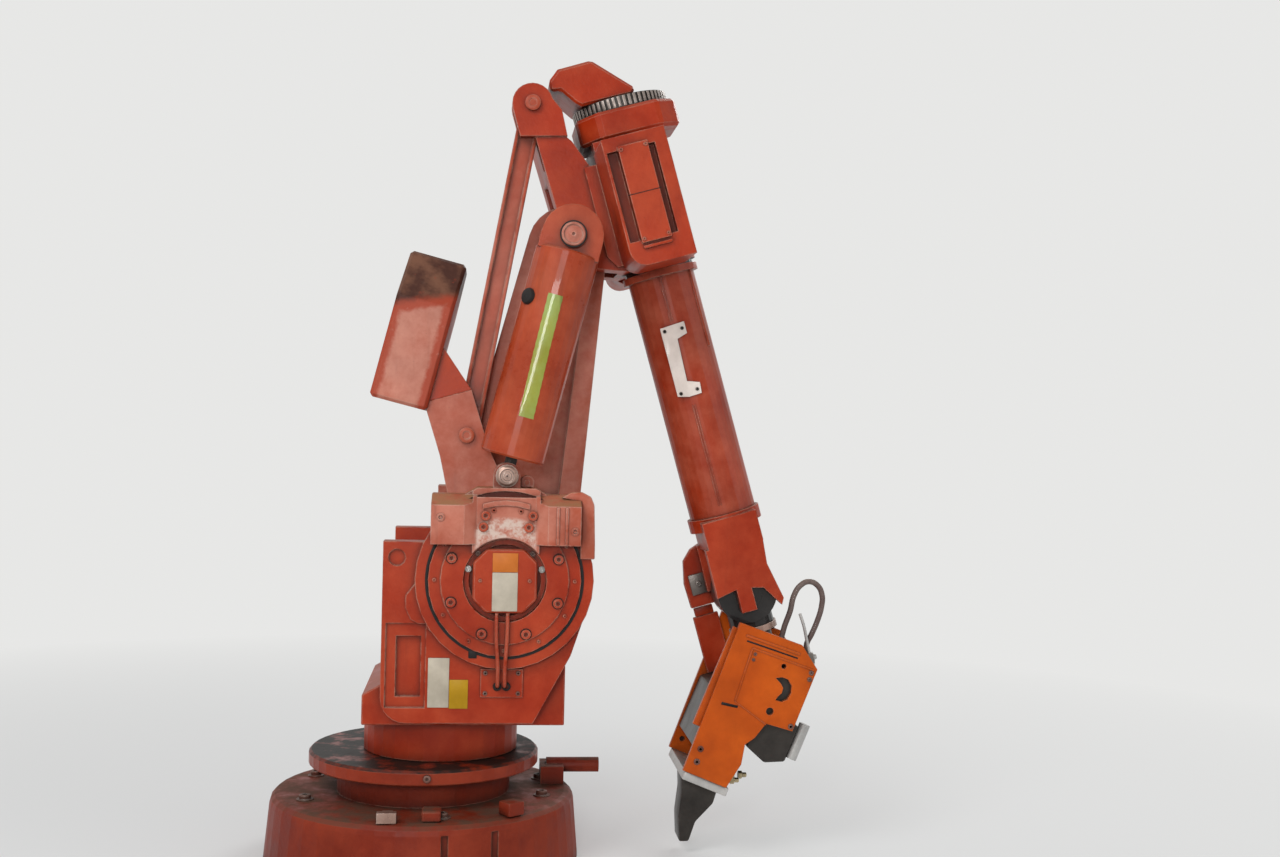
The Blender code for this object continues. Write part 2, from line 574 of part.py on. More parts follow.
def make_parallel_arm(arm):
    """Rear crank with its two cheeks, the lower link pin, the counterweight and its bracket."""
    near = CHEEK_NEAR
    far = CHEEK_FAR
    hub = pin(PARALLEL_HUB_RADIUS, -HUB_NEAR, far, steps=STEPS)
    lean = math.radians(WEIGHT_LEAN)
    foot = (WEIGHT_CORNER[0] + GAP / math.cos(lean), WEIGHT_CORNER[1])
    rise = PARALLEL_ARM_END - foot[1]
    cheek = [(0.112, 0.030), (0.055, 0.38), (0.050, PARALLEL_ARM_END),
             (foot[0] + rise * math.tan(lean), PARALLEL_ARM_END), foot, (-0.095, 0.40), (-0.120, 0.030)]
    body = join(hub, slab(cheek, near, far))
    slot = box(-0.060, 1.0, ROD_Y - ROD_HALF - CLEAR, ROD_Y + ROD_HALF + CLEAR, 0.220, 1.0)
    body = cut(body, slot)
    body = cut(body, bore(LINK_PIN_RADIUS, z=CRANK_LENGTH))
    finish(body, "parallel_arm", arm, ORANGE, 0.55)

    link_pin = pin(LINK_PIN_RADIUS, near - 0.012, far - 0.001, 0, CRANK_LENGTH)
    finish(link_pin, "link_pin_lower", arm, STEEL, 0.4, 0.8)

    step = PARALLEL_ARM_END + GAP
    reach = BRACKET_REACH
    apex = (foot[0] + reach * math.sin(lean), foot[1] + reach * math.cos(lean))
    outline = [(0.050, step), apex, (foot[0] + (step - foot[1]) * math.tan(lean), step)]
    bracket = slab(outline, near, far)
    web = BRACKET_FOOT / math.cos(lean)
    bracket = cut(bracket, slab([(-1 + web, foot[1] - 1 / math.tan(lean)), (1.0, 0.0), (1.0, 1.0), (apex[0] + web, apex[1])],
                                ROD_Y - ROD_HALF - CLEAR, ROD_Y + ROD_HALF + CLEAR))
    finish(bracket, "counterweight_bracket", arm, ORANGE, 0.6)

    flat = WEIGHT_LENGTH - WEIGHT_SLOPE
    weight = box(-WEIGHT_WIDTH, 0.0, -WEIGHT_HALF, WEIGHT_HALF, 0.0, WEIGHT_LENGTH)
    for side in (-1, 1):
        bm = bmesh.new()
        corner = [(side * (WEIGHT_HALF + 0.001), flat), (side * (WEIGHT_HALF + 0.001), WEIGHT_LENGTH + 0.001),
                  (side * (WEIGHT_HALF - WEIGHT_SLOPE_DEPTH), WEIGHT_LENGTH + 0.001)]
        face = bm.faces.new([bm.verts.new((-1.0, y, z)) for y, z in corner])
        grown = bmesh.ops.extrude_face_region(bm, geom=[face])["geom"]
        moved = [part for part in grown if isinstance(part, bmesh.types.BMVert)]
        bmesh.ops.translate(bm, verts=moved, vec=(2.0, 0, 0))
        weight = cut(weight, solid(bm))
    weight.data.transform(Matrix.Rotation(lean, 4, "Y"))
    finish(weight, "counterweight", arm, ORANGE, 0.6, bevel=0.010, at=(WEIGHT_CORNER[0], 0, WEIGHT_CORNER[1]))


def make_parallel_rod(rod):
    """Link between the crank and the upper arm, with an eye at each end."""
    near = ROD_Y - ROD_HALF
    far = ROD_Y + ROD_HALF
    half = ROD_WIDTH / 2
    inset = LINK_PIN_RADIUS + 0.007
    body = box(-half, half, near, far, inset, LOWER_ARM_LENGTH - inset)
    for z in (0.0, LOWER_ARM_LENGTH):
        body = join(body, pin(ROD_EYE_RADIUS, near, far, 0, z, 24))
    for z in (0.0, LOWER_ARM_LENGTH):
        body = cut(body, bore(LINK_PIN_RADIUS, z=z))
    groove = half - 0.012
    for face in ((-1.0, near + 0.012), (far - 0.012, 1.0)):
        body = cut(body, box(-groove, groove, *face, 0.09, LOWER_ARM_LENGTH - 0.09))
    finish(body, "parallel_rod", rod, ORANGE, 0.55)


def make_balance_cylinder(name, joint):
    """Spring cylinder that hangs from the elbow shaft, open at its gland for the piston rod."""
    outer = CYLINDER_RADIUS
    inner = CYLINDER_RADIUS - CYLINDER_WALL
    profile = [(0, -CYLINDER_TOP), (outer - 0.006, -CYLINDER_TOP), (outer, -CYLINDER_TOP - 0.006),
               (outer, -CYLINDER_BOTTOM + 0.006), (outer - 0.006, -CYLINDER_BOTTOM), (GLAND_RADIUS, -CYLINDER_BOTTOM),
               (GLAND_RADIUS, -CYLINDER_BOTTOM + 0.014), (inner, -CYLINDER_BOTTOM + 0.014),
               (inner, -CYLINDER_TOP - 0.055), (0, -CYLINDER_TOP - 0.055)]
    body = turned(profile)
    ear = [(-outer + 0.004, -CYLINDER_TOP - 0.01), (outer - 0.004, -CYLINDER_TOP - 0.01),
           *arc(0, 0, EAR_TOP, 0, 180, 12)]
    body = join(body, slab(ear, -EAR_HALF_DEPTH, EAR_HALF_DEPTH))
    body = cut(body, bore(SHAFT_RADIUS, steps=24))
    finish(body, name, joint, ORANGE, 0.5)


def make_piston_rod(name, joint):
    """Piston rod with the eye on the spring pin."""
    rod = drum(SPRING_PIN_RADIUS, 0.0, PISTON_LENGTH, steps=SMALL_STEPS)
    rod = join(rod, pin(SPRING_PIN_HEAD, -ROD_EYE_HALF, ROD_EYE_HALF, 0, 0, 24))
    rod = cut(rod, bore(SPRING_PIN_RADIUS))
    finish(rod, name, joint, DARK_STEEL, 0.35, 0.8)


def make_upper_arm(arm):
    """Upper arm casting, its motor housings, and the stack behind the tube."""
    outline = arc(0, 0, ELBOW_BOSS_RADIUS, 97, 290, 14)
    outline += [(TUBE_OFFSET - HOUSING_RADIUS, HOUSING_BOTTOM), (TUBE_OFFSET, HOUSING_BOTTOM),
                (TUBE_OFFSET, HOUSING_TOP), *WEB_OUTLINE]
    body = slab(outline, -ARM_HALF, ARM_HALF)
    head = [*HEAD_OUTLINE, *arc(0, CRANK_LENGTH, HEAD_RADIUS, 0, 180, 12)]
    body = join(body, slab(head, CHEEK_NEAR, CHEEK_FAR))
    body = join(body, drum(HOUSING_RADIUS, HOUSING_BOTTOM, HOUSING_TOP, at=(TUBE_OFFSET, 0)))
    reach = LOWER_HEAD_RADIUS + 0.012
    room = LOWER_HALF + CLEAR
    body = cut(body, slab(circle(reach), -room, room))
    left = [(-1, -1), (0.080, -1), (0.137, 0), (0.110, 0.110), (-0.010, 0.205), (-1, 1)]
    body = cut(body, slab(left, -room, room))
    slot = box(-1, 0.062, ROD_Y - ROD_HALF - CLEAR, ROD_Y + ROD_HALF + CLEAR, 0.235, 1)
    body = cut(body, slot)
    body = cut(body, bore(LINK_PIN_RADIUS, z=CRANK_LENGTH), bore(SHAFT_RADIUS, steps=24))
    finish(body, "upper_arm", arm, ORANGE, 0.55)

    link_pin = pin(LINK_PIN_RADIUS, CHEEK_NEAR - 0.012, CHEEK_FAR - 0.001, 0, CRANK_LENGTH)
    finish(link_pin, "link_pin_upper", arm, STEEL, 0.4, 0.8)

    outline = [(MOTOR_LEFT, MOTOR_TOP), (MOTOR_RIGHT, MOTOR_TOP), (MOTOR_RIGHT, MOTOR_BOTTOM),
               *arc(MOTOR_LEFT + MOTOR_CORNER, MOTOR_BOTTOM + MOTOR_CORNER, MOTOR_CORNER, 270, 180, 6)]
    motor = slab(outline, -MOTOR_END, -PAD_FACE + 0.006)
    motor = cut(motor, box(CHANNEL_LEFT, CHANNEL_RIGHT, -1, -CHANNEL_FLOOR, PANEL_BOTTOM, PANEL_TOP))
    panel = box(PANEL_LEFT, PANEL_RIGHT, -PANEL_END, -CHANNEL_FLOOR + 0.01, PANEL_BOTTOM - 0.01, PANEL_TOP + 0.01)
    motor = join(motor, panel, slab(PAD_OUTLINE, -PAD_FACE, -ARM_HALF - GAP))
    both_sides(motor, "motor_housing", arm, ORANGE, 0.55, bevel=0.003)

    side = CAP_HALF
    flat = CAP_HALF - CAP_NOTCH
    corners = [(-side, -flat), (-flat, -side), (flat, -side), (side, -flat),
               (side, flat), (flat, side), (-flat, side), (-side, flat)]
    bottom = HOUSING_TOP + GAP
    cap = prism([(CAP_CENTRE + x, y, bottom) for x, y in corners], (0, 0, CAP_HEIGHT))
    finish(cap, "rear_cap", arm, ORANGE, 0.55, bevel=0.010)

    bottom += CAP_HEIGHT + GAP
    finish(drum(COLLAR_RADIUS, bottom, bottom + COLLAR_HEIGHT, at=(CAP_CENTRE, 0)), "rear_collar", arm, DARK_STEEL, 0.7)

    bottom += COLLAR_HEIGHT + GAP
    cover = slab([(x, bottom + z) for x, z in COVER_OUTLINE], -COVER_HALF, COVER_HALF)
    finish(cover, "rear_cover", arm, ORANGE, 0.55, bevel=0.008)


def make_forearm(roll):
    """Seal ring, tube and wrist fork that turn about the tube's axis."""
    top = HOUSING_BOTTOM - GAP
    finish(drum(TUBE_RADIUS + 0.004, top - SEAL_THICKNESS, top), "tube_seal", roll, BLACK, 0.7)
    top -= SEAL_THICKNESS + GAP
    profile = [(0, -TUBE_END), (TUBE_RADIUS, -TUBE_END), (TUBE_RADIUS, top - TUBE_FLANGE),
               (TUBE_FLANGE_RADIUS, top - TUBE_FLANGE), (TUBE_FLANGE_RADIUS, top), (0, top)]
    finish(turned(profile), "arm_tube", roll, ORANGE, 0.55)

    start = -TUBE_END - GAP
    base = -WRIST_REACH + FORK_BASE
    body = drum(WRIST_BAND_RADIUS, start - WRIST_BAND, start)
    body = join(body, box(-0.090, 0.087, -FORK_OUTER, FORK_OUTER, base, start - 0.01))
    cheek = [(x, z - WRIST_REACH) for x, z in CHEEK_OUTLINE]
    for near, far in ((-FORK_OUTER, -FORK_INNER), (FORK_INNER, FORK_OUTER)):
        body = join(body, slab(cheek, near, far))
    body = cut(body, pin(TILT_RADIUS + CLEAR, -FORK_INNER, FORK_INNER, 0, -WRIST_REACH, STEPS))
    finish(body, "wrist_housing", roll, ORANGE, 0.5)

    bracket = slab([(x, z - WRIST_REACH) for x, z in WRIST_BRACKET_OUTLINE], BRACKET_INNER + GAP, BRACKET_OUTER)
    finish(bracket, "wrist_bracket", roll, ORANGE, 0.5, bevel=0.002)


def slanted(outline):
    """Points of the gun's slanted frame as points of the tool's frame."""
    slant = math.radians(GUN_SLANT)
    return [(GUN_X + x * math.cos(slant) + z * math.sin(slant), GUN_Z - x * math.sin(slant) + z * math.cos(slant))
            for x, z in outline]


def make_tool(tilt, tool):
    """Tilt housing in the fork, turning disc, adapter and gun."""
    body = pin(TILT_RADIUS, -TILT_HALF, TILT_HALF, steps=STEPS)
    body = join(body, drum(TOOL_DISC_RADIUS - 0.006, -TILT_DEPTH, -0.02, steps=24))
    body = join(body, pin(0.045, -FORK_INNER + GAP, FORK_INNER - GAP, steps=24))
    finish(body, "tilt_housing", tilt, BLACK, 0.5)

    bottom = -TILT_DEPTH - GAP
    finish(drum(TOOL_DISC_RADIUS, bottom - TOOL_DISC_THICKNESS, bottom, steps=24), "turning_disc", tool, STEEL, 0.4, 0.8)
    bottom -= TOOL_DISC_THICKNESS + GAP
    finish(drum(ADAPTER_RADIUS, -CORE_TOP + GAP, bottom, steps=24), "gun_adapter", tool, DARK_STEEL, 0.5)

    plate = slab(slanted(GUN_PLATE_OUTLINE), -GUN_PLATE_OUTER, -GUN_PLATE_INNER)
    plate = cut(plate, slab(slanted(GUN_WINDOW), -1.0, 0.0))
    for x, z, radius in GUN_HOLES:
        (place,) = slanted([(x, z)])
        plate = cut(plate, pin(radius, -1.0, 0.0, *place, 12))
    both_sides(plate, "gun_plate", tool, GUN_ORANGE, 0.45)

    core = [(-0.190, -CORE_TOP), (0.110, -CORE_TOP), *slanted(CORE_OUTLINE)]
    finish(slab(core, -CORE_HALF, CORE_HALF), "gun_transformer", tool, DARK_STEEL, 0.5, bevel=0.003)
    side = slab(SIDE_BAR_OUTLINE, SIDE_BAR_INNER, CORE_HALF)
    finish(side, "gun_side_bar", tool, ORANGE, 0.5, bevel=0.002)
    rail = slab(slanted(RAIL_OUTLINE), -CORE_HALF, -RAIL_INNER)
    finish(rail, "gun_edge_rail", tool, GUN_ORANGE, 0.45, bevel=0.001)

    actuator = slab(slanted(ACTUATOR_OUTLINE), -ACTUATOR_HALF, ACTUATOR_HALF)
    finish(actuator, "gun_actuator", tool, DARK_STEEL, 0.5, bevel=0.004)
    (place,) = slanted([(AIR_CYLINDER_X, AIR_CYLINDER_BOTTOM)])
    air = turned([(0, 0), (AIR_CYLINDER_RADIUS, 0), (AIR_CYLINDER_RADIUS, AIR_CYLINDER_LENGTH), (0, AIR_CYLINDER_LENGTH)],
                 at=(place[0], AIR_CYLINDER_Y, place[1]), steps=24, turn=Matrix.Rotation(math.radians(GUN_SLANT), 4, "Y"))
    finish(air, "gun_air_cylinder", tool, STEEL, 0.4, 0.2)

    manifold = box(0.050, MANIFOLD_RIGHT, -0.100, -0.020, -CORE_TOP + GAP, -MANIFOLD_TOP)
    finish(manifold, "gun_manifold", tool, STEEL, 0.5, 0.4, bevel=0.003)


def main():
    """Build every body from the pedestal to the gun."""
    clear_scene()
    bend = LOWER_ARM_LEAN + ARM_TILT
    spring_lean = math.degrees(math.atan2(SPRING_RUN, SPRING_RISE))

    root = frame("robot")
    turret = frame("turret_axis", root)
    shoulder = frame("shoulder_axis", turret, at=(SHOULDER_X, 0, SHOULDER_Z))
    arm = frame("lower_arm_axis", shoulder, lean=LOWER_ARM_LEAN)
    crank = frame("parallel_arm_axis", arm, lean=-bend)
    rod = frame("parallel_rod_axis", crank, at=(0, 0, CRANK_LENGTH), lean=bend)
    upper = frame("elbow_axis", arm, at=(0, 0, LOWER_ARM_LENGTH), lean=-bend)
    roll = frame("tube_axis", upper, at=(TUBE_OFFSET, 0, 0))
    tilt = frame("tilt_axis", roll, at=(0, 0, -WRIST_REACH))
    tool = frame("tool_axis", tilt)

    make_base(root)
    make_turret(turret, shoulder)
    make_drive(shoulder)
    make_connectors(shoulder)
    make_lower_arm(arm)
    make_parallel_arm(crank)
    make_parallel_rod(rod)
    make_upper_arm(upper)
    make_forearm(roll)
    make_tool(tilt, tool)
    for side, y in (("near", -CYLINDER_Y), ("far", CYLINDER_Y)):
        hanging = frame("spring_axis_" + side, arm, at=(0, y, LOWER_ARM_LENGTH), lean=spring_lean - LOWER_ARM_LEAN)
        standing = frame("piston_axis_" + side, shoulder, at=(0, y, SPRING_PIN_RISE), lean=spring_lean)
        make_balance_cylinder("balance_cylinder_" + side, hanging)
        make_piston_rod("piston_rod_" + side, standing)
    bpy.context.view_layer.update()


main()
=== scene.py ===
"""Looks of an industrial robot arm with a parallel linkage and a spot-welding gun, around its CAD frame."""
import math

import bmesh
import bpy
from mathutils import Matrix, Vector


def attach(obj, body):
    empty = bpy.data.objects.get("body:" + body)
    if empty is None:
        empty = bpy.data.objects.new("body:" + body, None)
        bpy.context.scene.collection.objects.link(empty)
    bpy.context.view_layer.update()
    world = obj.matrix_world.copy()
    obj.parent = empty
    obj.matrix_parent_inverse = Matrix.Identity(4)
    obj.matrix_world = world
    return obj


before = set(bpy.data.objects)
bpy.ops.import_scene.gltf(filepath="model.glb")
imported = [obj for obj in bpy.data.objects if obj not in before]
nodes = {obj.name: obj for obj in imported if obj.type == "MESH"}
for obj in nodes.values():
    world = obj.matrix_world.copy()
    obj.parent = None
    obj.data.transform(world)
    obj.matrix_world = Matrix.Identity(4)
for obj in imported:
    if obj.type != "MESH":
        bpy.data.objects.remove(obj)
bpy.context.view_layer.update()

# Camera. The photograph is taken level, at eye height, from about five metres in front of the arm's right side,
# with a slight roll. Its 1500 pixels of focal length on a 1280 pixel wide picture are 42 mm on a 36 mm sensor.
scene = bpy.context.scene
photo_width, focal_pixels, sensor_width = 1280, 1500, 36.0
camera_data = bpy.data.cameras.new("camera")
camera_data.sensor_width = sensor_width
camera_data.lens = sensor_width * focal_pixels / photo_width
camera_data.clip_end = 100
camera = bpy.data.objects.new("camera", camera_data)
scene.collection.objects.link(camera)
eye, heading, roll = (0.159, -4.793, 1.355), math.radians(-6.0), math.radians(1.3)
upright = Matrix.Rotation(math.radians(90), 4, "X")
camera.matrix_world = (Matrix.Translation(eye) @ Matrix.Rotation(heading, 4, "Z")
                       @ upright @ Matrix.Rotation(roll, 4, "Z"))
scene.camera = camera

# Studio. A pale floor that fades into a pale sky, whose glow only the camera and reflections see, a big soft lamp
# above and in front, a weaker one close to the camera, one behind that draws the edges and a faint one at the side.
scene.view_settings.view_transform = "Standard"
pale = (0.80, 0.80, 0.79, 1)


def node(tree, kind, **settings):
    """New shader node with some of its settings."""
    made = tree.nodes.new("ShaderNode" + kind)
    for key, value in settings.items():
        setattr(made, key, value)
    return made


def feed(tree, target, *sources):
    """Connect or set the first inputs of a node, and return its first output."""
    for socket, source in zip(target.inputs, sources):
        if isinstance(source, bpy.types.NodeSocket):
            tree.links.new(source, socket)
        elif source is not None:
            socket.default_value = source
    return next(iter(target.outputs), None)


def sums(tree, operation, first, second=None, third=None, clamp=False):
    """Math node as one value."""
    return feed(tree, node(tree, "Math", operation=operation, use_clamp=clamp), first, second, third)


world = bpy.data.worlds.new("studio")
world.use_nodes = True
scene.world = world
tree = world.node_tree
tree.nodes.clear()
ray = node(tree, "LightPath").outputs
seen = sums(tree, "MAXIMUM", ray["Is Camera Ray"], ray["Is Transmission Ray"])
seen = sums(tree, "MAXIMUM", seen, ray["Is Glossy Ray"])
ambient = feed(tree, node(tree, "Background"), (0.93, 0.96, 1.0, 1), 0.38)
shown = feed(tree, node(tree, "Background"), pale, 1.0)
feed(tree, node(tree, "OutputWorld"), feed(tree, node(tree, "MixShader"), seen, ambient, shown))

lamp_target = Vector((0.35, 0, 1.1))
for name, place, size, power in (("key", (-2.2, -3.6, 4.6), 2.4, 120), ("near_camera", (-0.4, -5.3, 2.1), 0.8, 70),
                                 ("rim", (2.4, 3.2, 3.8), 2.0, 70), ("side", (4.2, -1.2, 2.4), 1.8, 16)):
    lamp = bpy.data.lights.new(name, "AREA")
    lamp.size = size
    lamp.energy = power
    lamp_object = bpy.data.objects.new(name, lamp)
    scene.collection.objects.link(lamp_object)
    lamp_object.location = place
    lamp_object.rotation_mode = "QUATERNION"
    lamp_object.rotation_quaternion = (lamp_target - Vector(place)).to_track_quat("-Z", "Y")

bm = bmesh.new()
bmesh.ops.create_grid(bm, x_segments=1, y_segments=1, size=40)
mesh = bpy.data.meshes.new("floor")
bm.to_mesh(mesh)
bm.free()
floor = bpy.data.objects.new("floor", mesh)
scene.collection.objects.link(floor)
floor_paint = bpy.data.materials.new("floor")
floor_paint.use_nodes = True
tree = floor_paint.node_tree
matt = tree.nodes["Principled BSDF"]
matt.inputs["Base Color"].default_value = (0.78, 0.78, 0.77, 1)
matt.inputs["Roughness"].default_value = 0.9
distance = node(tree, "VectorMath", operation="LENGTH")
feed(tree, distance, node(tree, "TexCoord").outputs["Object"])
fading = feed(tree, node(tree, "MapRange"), distance.outputs["Value"], 0.6, 5.0, 0.25, 1.0)
ray = node(tree, "LightPath").outputs
fading = sums(tree, "MULTIPLY", fading, sums(tree, "MAXIMUM", ray["Is Camera Ray"], ray["Is Glossy Ray"]))
glow = feed(tree, node(tree, "Emission"), pale)
feed(tree, tree.nodes["Material Output"], feed(tree, node(tree, "MixShader"), fading, matt.outputs[0], glow))
mesh.materials.append(floor_paint)

# Pedestal. A heavy iron casting bolted to the floor, with oil, dust and rust on its top and runs of dirt down its
# skirt. Every finish on this machine is made the same ways: chalked and scuffed paint, whose pale patches on some
# finishes are partly a painted sheen, rubbed edges, painted shade and grime that darken the corners, grime that
# runs down, and brown shop dust on what faces up. One node group makes them all.
weathering_and_shade = bpy.data.node_groups.new("weathering_and_shade", "ShaderNodeTree")
for label, value in (("Paint", (0.48, 0.07, 0.02, 1)), ("Chalk", (0.6, 0.2, 0.12, 1)), ("Bare", (0.3, 0.14, 0.09, 1)),
                     ("Grime", (0.02, 0.014, 0.01, 1)), ("Dust", (0.20, 0.14, 0.10, 1)), ("Chalking", 0.5),
                     ("Rubbing", 0.5), ("Soiling", 0.5), ("Dusting", 0.5), ("Gloss", 0.35), ("Dull", 0.7),
                     ("Edge", 0.004), ("Grain", 0.3), ("Grain Size", 90.0)):
    kind = "NodeSocketColor" if isinstance(value, tuple) else "NodeSocketFloat"
    weathering_and_shade.interface.new_socket(label, in_out="INPUT", socket_type=kind).default_value = value
for label, kind in (("Color", "NodeSocketColor"), ("Roughness", "NodeSocketFloat"), ("Normal", "NodeSocketVector")):
    weathering_and_shade.interface.new_socket(label, in_out="OUTPUT", socket_type=kind)


def ramp(tree, value, low, high):
    """Value from 0 at low to 1 at high."""
    return feed(tree, node(tree, "MapRange", interpolation_type="SMOOTHSTEP", clamp=True), value, low, high, 0.0, 1.0)


def rest_of(tree, value):
    """What is left of one."""
    return sums(tree, "SUBTRACT", 1.0, value)


def axes(tree, vector):
    """X, Y and Z of a vector."""
    made = node(tree, "SeparateXYZ")
    feed(tree, made, vector)
    return made.outputs


def cloud(tree, place, scale, detail=4.0, rough=0.6):
    """Noise between 0 and 1."""
    made = node(tree, "TexNoise")
    tree.links.new(place, made.inputs["Vector"])
    for label, value in (("Scale", scale), ("Detail", detail), ("Roughness", rough)):
        made.inputs[label].default_value = value
    return made.outputs["Fac"]


def blended(tree, share, first, second):
    """Colour between two others."""
    made = node(tree, "Mix", data_type="RGBA")
    for label, source in (("Factor_Float", share), ("A_Color", first), ("B_Color", second)):
        socket = next(s for s in made.inputs if s.identifier == label)
        if isinstance(source, bpy.types.NodeSocket):
            tree.links.new(source, socket)
        else:
            socket.default_value = source
    return next(s for s in made.outputs if s.identifier == "Result_Color")


tree = weathering_and_shade
given = tree.nodes.new("NodeGroupInput").outputs
place = node(tree, "TexCoord").outputs["Object"]
broad = cloud(tree, place, 3.1, 3.0)
patch = cloud(tree, place, 13.0, 6.0, 0.66)
fine = cloud(tree, place, 75.0, 4.0, 0.7)
down_streaks = (22.0, 22.0, 1.3)
runs = cloud(tree, feed(tree, node(tree, "Mapping"), place, None, None, down_streaks), 1.0, 4.0, 0.6)

# Rubbed edges show where the rounded normal leaves the true one, and scratches cross the broad faces.
rounding = node(tree, "Bevel", samples=4)
tree.links.new(given["Edge"], rounding.inputs["Radius"])
true_normal = node(tree, "NewGeometry").outputs["Normal"]
flatness = node(tree, "VectorMath", operation="DOT_PRODUCT")
feed(tree, flatness, rounding.outputs[0], true_normal)
edge = ramp(tree, rest_of(tree, flatness.outputs["Value"]), 0.01, 0.16)
broken = ramp(tree, sums(tree, "ADD", patch, sums(tree, "MULTIPLY", fine, 0.5)), 0.56, 0.84)
scratch_turn, scratch_grain = (0.4, 0.9, 0.3), (9.0, 60.0, 60.0)
scratches = cloud(tree, feed(tree, node(tree, "Mapping"), place, None, scratch_turn, scratch_grain), 1.6, 5.0, 0.75)
scuff = sums(tree, "MULTIPLY", ramp(tree, scratches, 0.68, 0.74), ramp(tree, broad, 0.50, 0.62))
worn = sums(tree, "MAXIMUM", sums(tree, "MULTIPLY", edge, broken), sums(tree, "MULTIPLY", scuff, 0.55))
rubbed = sums(tree, "MULTIPLY", worn, given["Rubbing"], clamp=True)

# Chalked paint lies in soft patches, and its tone drifts. On the pale arms and counterweight the chalk colour is
# partly a painted sheen.
chalk_and_sheen = sums(tree, "ADD", sums(tree, "MULTIPLY", broad, 0.6), sums(tree, "MULTIPLY", patch, 0.4))
chalk_and_sheen = sums(tree, "MULTIPLY", ramp(tree, chalk_and_sheen, 0.36, 0.66), given["Chalking"], clamp=True)
tone = node(tree, "HueSaturation")
tree.links.new(blended(tree, chalk_and_sheen, given["Paint"], given["Chalk"]), tone.inputs["Color"])
drift = sums(tree, "MULTIPLY_ADD", cloud(tree, place, 6.5, 5.0, 0.62), 0.9, 0.55)
tree.links.new(drift, tone.inputs["Value"])

# Painted shade and grime darken the corners as far as they are hidden, grime runs down the sides and specks the rest.
hidden = node(tree, "AmbientOcclusion", samples=6)
hidden.inputs["Distance"].default_value = 0.06
corner = ramp(tree, rest_of(tree, hidden.outputs["AO"]), 0.08, 0.62)
shade_and_grime = sums(tree, "MULTIPLY", corner, sums(tree, "ADD", patch, 0.35))
running = sums(tree, "MULTIPLY", ramp(tree, runs, 0.56, 0.80), 0.45)
shade_and_grime = sums(tree, "ADD", shade_and_grime, sums(tree, "MULTIPLY", running, ramp(tree, broad, 0.40, 0.62)))
speck = sums(tree, "MULTIPLY", ramp(tree, fine, 0.66, 0.76), 0.35)
shade_and_grime = sums(tree, "MULTIPLY", sums(tree, "ADD", shade_and_grime, speck), given["Soiling"], clamp=True)
colour = blended(tree, shade_and_grime, tone.outputs[0], given["Grime"])
colour = blended(tree, rubbed, colour, given["Bare"])

# Dust lies on what faces up, and takes the gloss with it.
lying = sums(tree, "MULTIPLY", ramp(tree, axes(tree, true_normal)["Z"], 0.45, 0.9), ramp(tree, patch, 0.28, 0.62))
lying = sums(tree, "MULTIPLY", lying, given["Dusting"], clamp=True)
colour = blended(tree, lying, colour, given["Dust"])
dullness = sums(tree, "MAXIMUM", lying, sums(tree, "MULTIPLY", chalk_and_sheen, 0.6))
spread = sums(tree, "SUBTRACT", given["Dull"], given["Gloss"])
roughness = sums(tree, "MULTIPLY_ADD", spread, dullness, given["Gloss"])
unevenness = sums(tree, "MULTIPLY", sums(tree, "SUBTRACT", patch, 0.5), 0.16)
roughness = sums(tree, "ADD", roughness, unevenness, clamp=True)

grain = node(tree, "TexNoise")
tree.links.new(place, grain.inputs["Vector"])
tree.links.new(given["Grain Size"], grain.inputs["Scale"])
grain.inputs["Detail"].default_value = 3.0
relief = sums(tree, "ADD", grain.outputs["Fac"], sums(tree, "MULTIPLY", patch, 1.6))
bump = node(tree, "Bump")
bump.inputs["Distance"].default_value = 0.002
for label, source in (("Strength", given["Grain"]), ("Height", relief), ("Normal", rounding.outputs[0])):
    tree.links.new(source, bump.inputs[label])
feed(tree, tree.nodes.new("NodeGroupOutput"), colour, roughness, bump.outputs[0])


def weathered_and_shaded(name, metallic=0.0, coat=0.0, specular=0.2, **values):
    """Material that takes its colour, painted shade included, its roughness and normal from the weathering_and_shade
    group.
    """
    material = bpy.data.materials.new(name)
    material.use_nodes = True
    tree = material.node_tree
    surface = tree.nodes["Principled BSDF"]
    surface.inputs["Metallic"].default_value = metallic
    surface.inputs["Coat Weight"].default_value = coat
    surface.inputs["Specular IOR Level"].default_value = specular
    wear_and_shade = node(tree, "Group", name="wear_and_shade", node_tree=weathering_and_shade)
    for label, value in values.items():
        socket = wear_and_shade.inputs[label.replace("_", " ")]
        socket.default_value = (*value, 1) if isinstance(value, tuple) else value
    for label, target in (("Color", "Base Color"), ("Roughness", "Roughness"), ("Normal", "Normal")):
        tree.links.new(wear_and_shade.outputs[label], surface.inputs[target])
    return material


def dress(material, *names):
    """Give CAD nodes a finish."""
    for name in names:
        for slot in nodes[name].material_slots:
            slot.material = material


def turned(*profile, steps=32):
    """Shape of a profile of (radius, height) points turned about Z."""
    bm = bmesh.new()
    line = [bm.verts.new((radius, 0, height)) for radius, height in profile]
    edges = [bm.edges.new(pair) for pair in zip(line, line[1:])]
    bmesh.ops.spin(bm, geom=line + edges, cent=(0, 0, 0), axis=(0, 0, 1), angle=math.tau, steps=steps,
                   use_merge=True)
    bmesh.ops.remove_doubles(bm, verts=bm.verts[:], dist=1e-6)
    return bm


def vertices(geometry):
    """Only the vertices of what an operator made."""
    return [part for part in geometry if isinstance(part, bmesh.types.BMVert)]


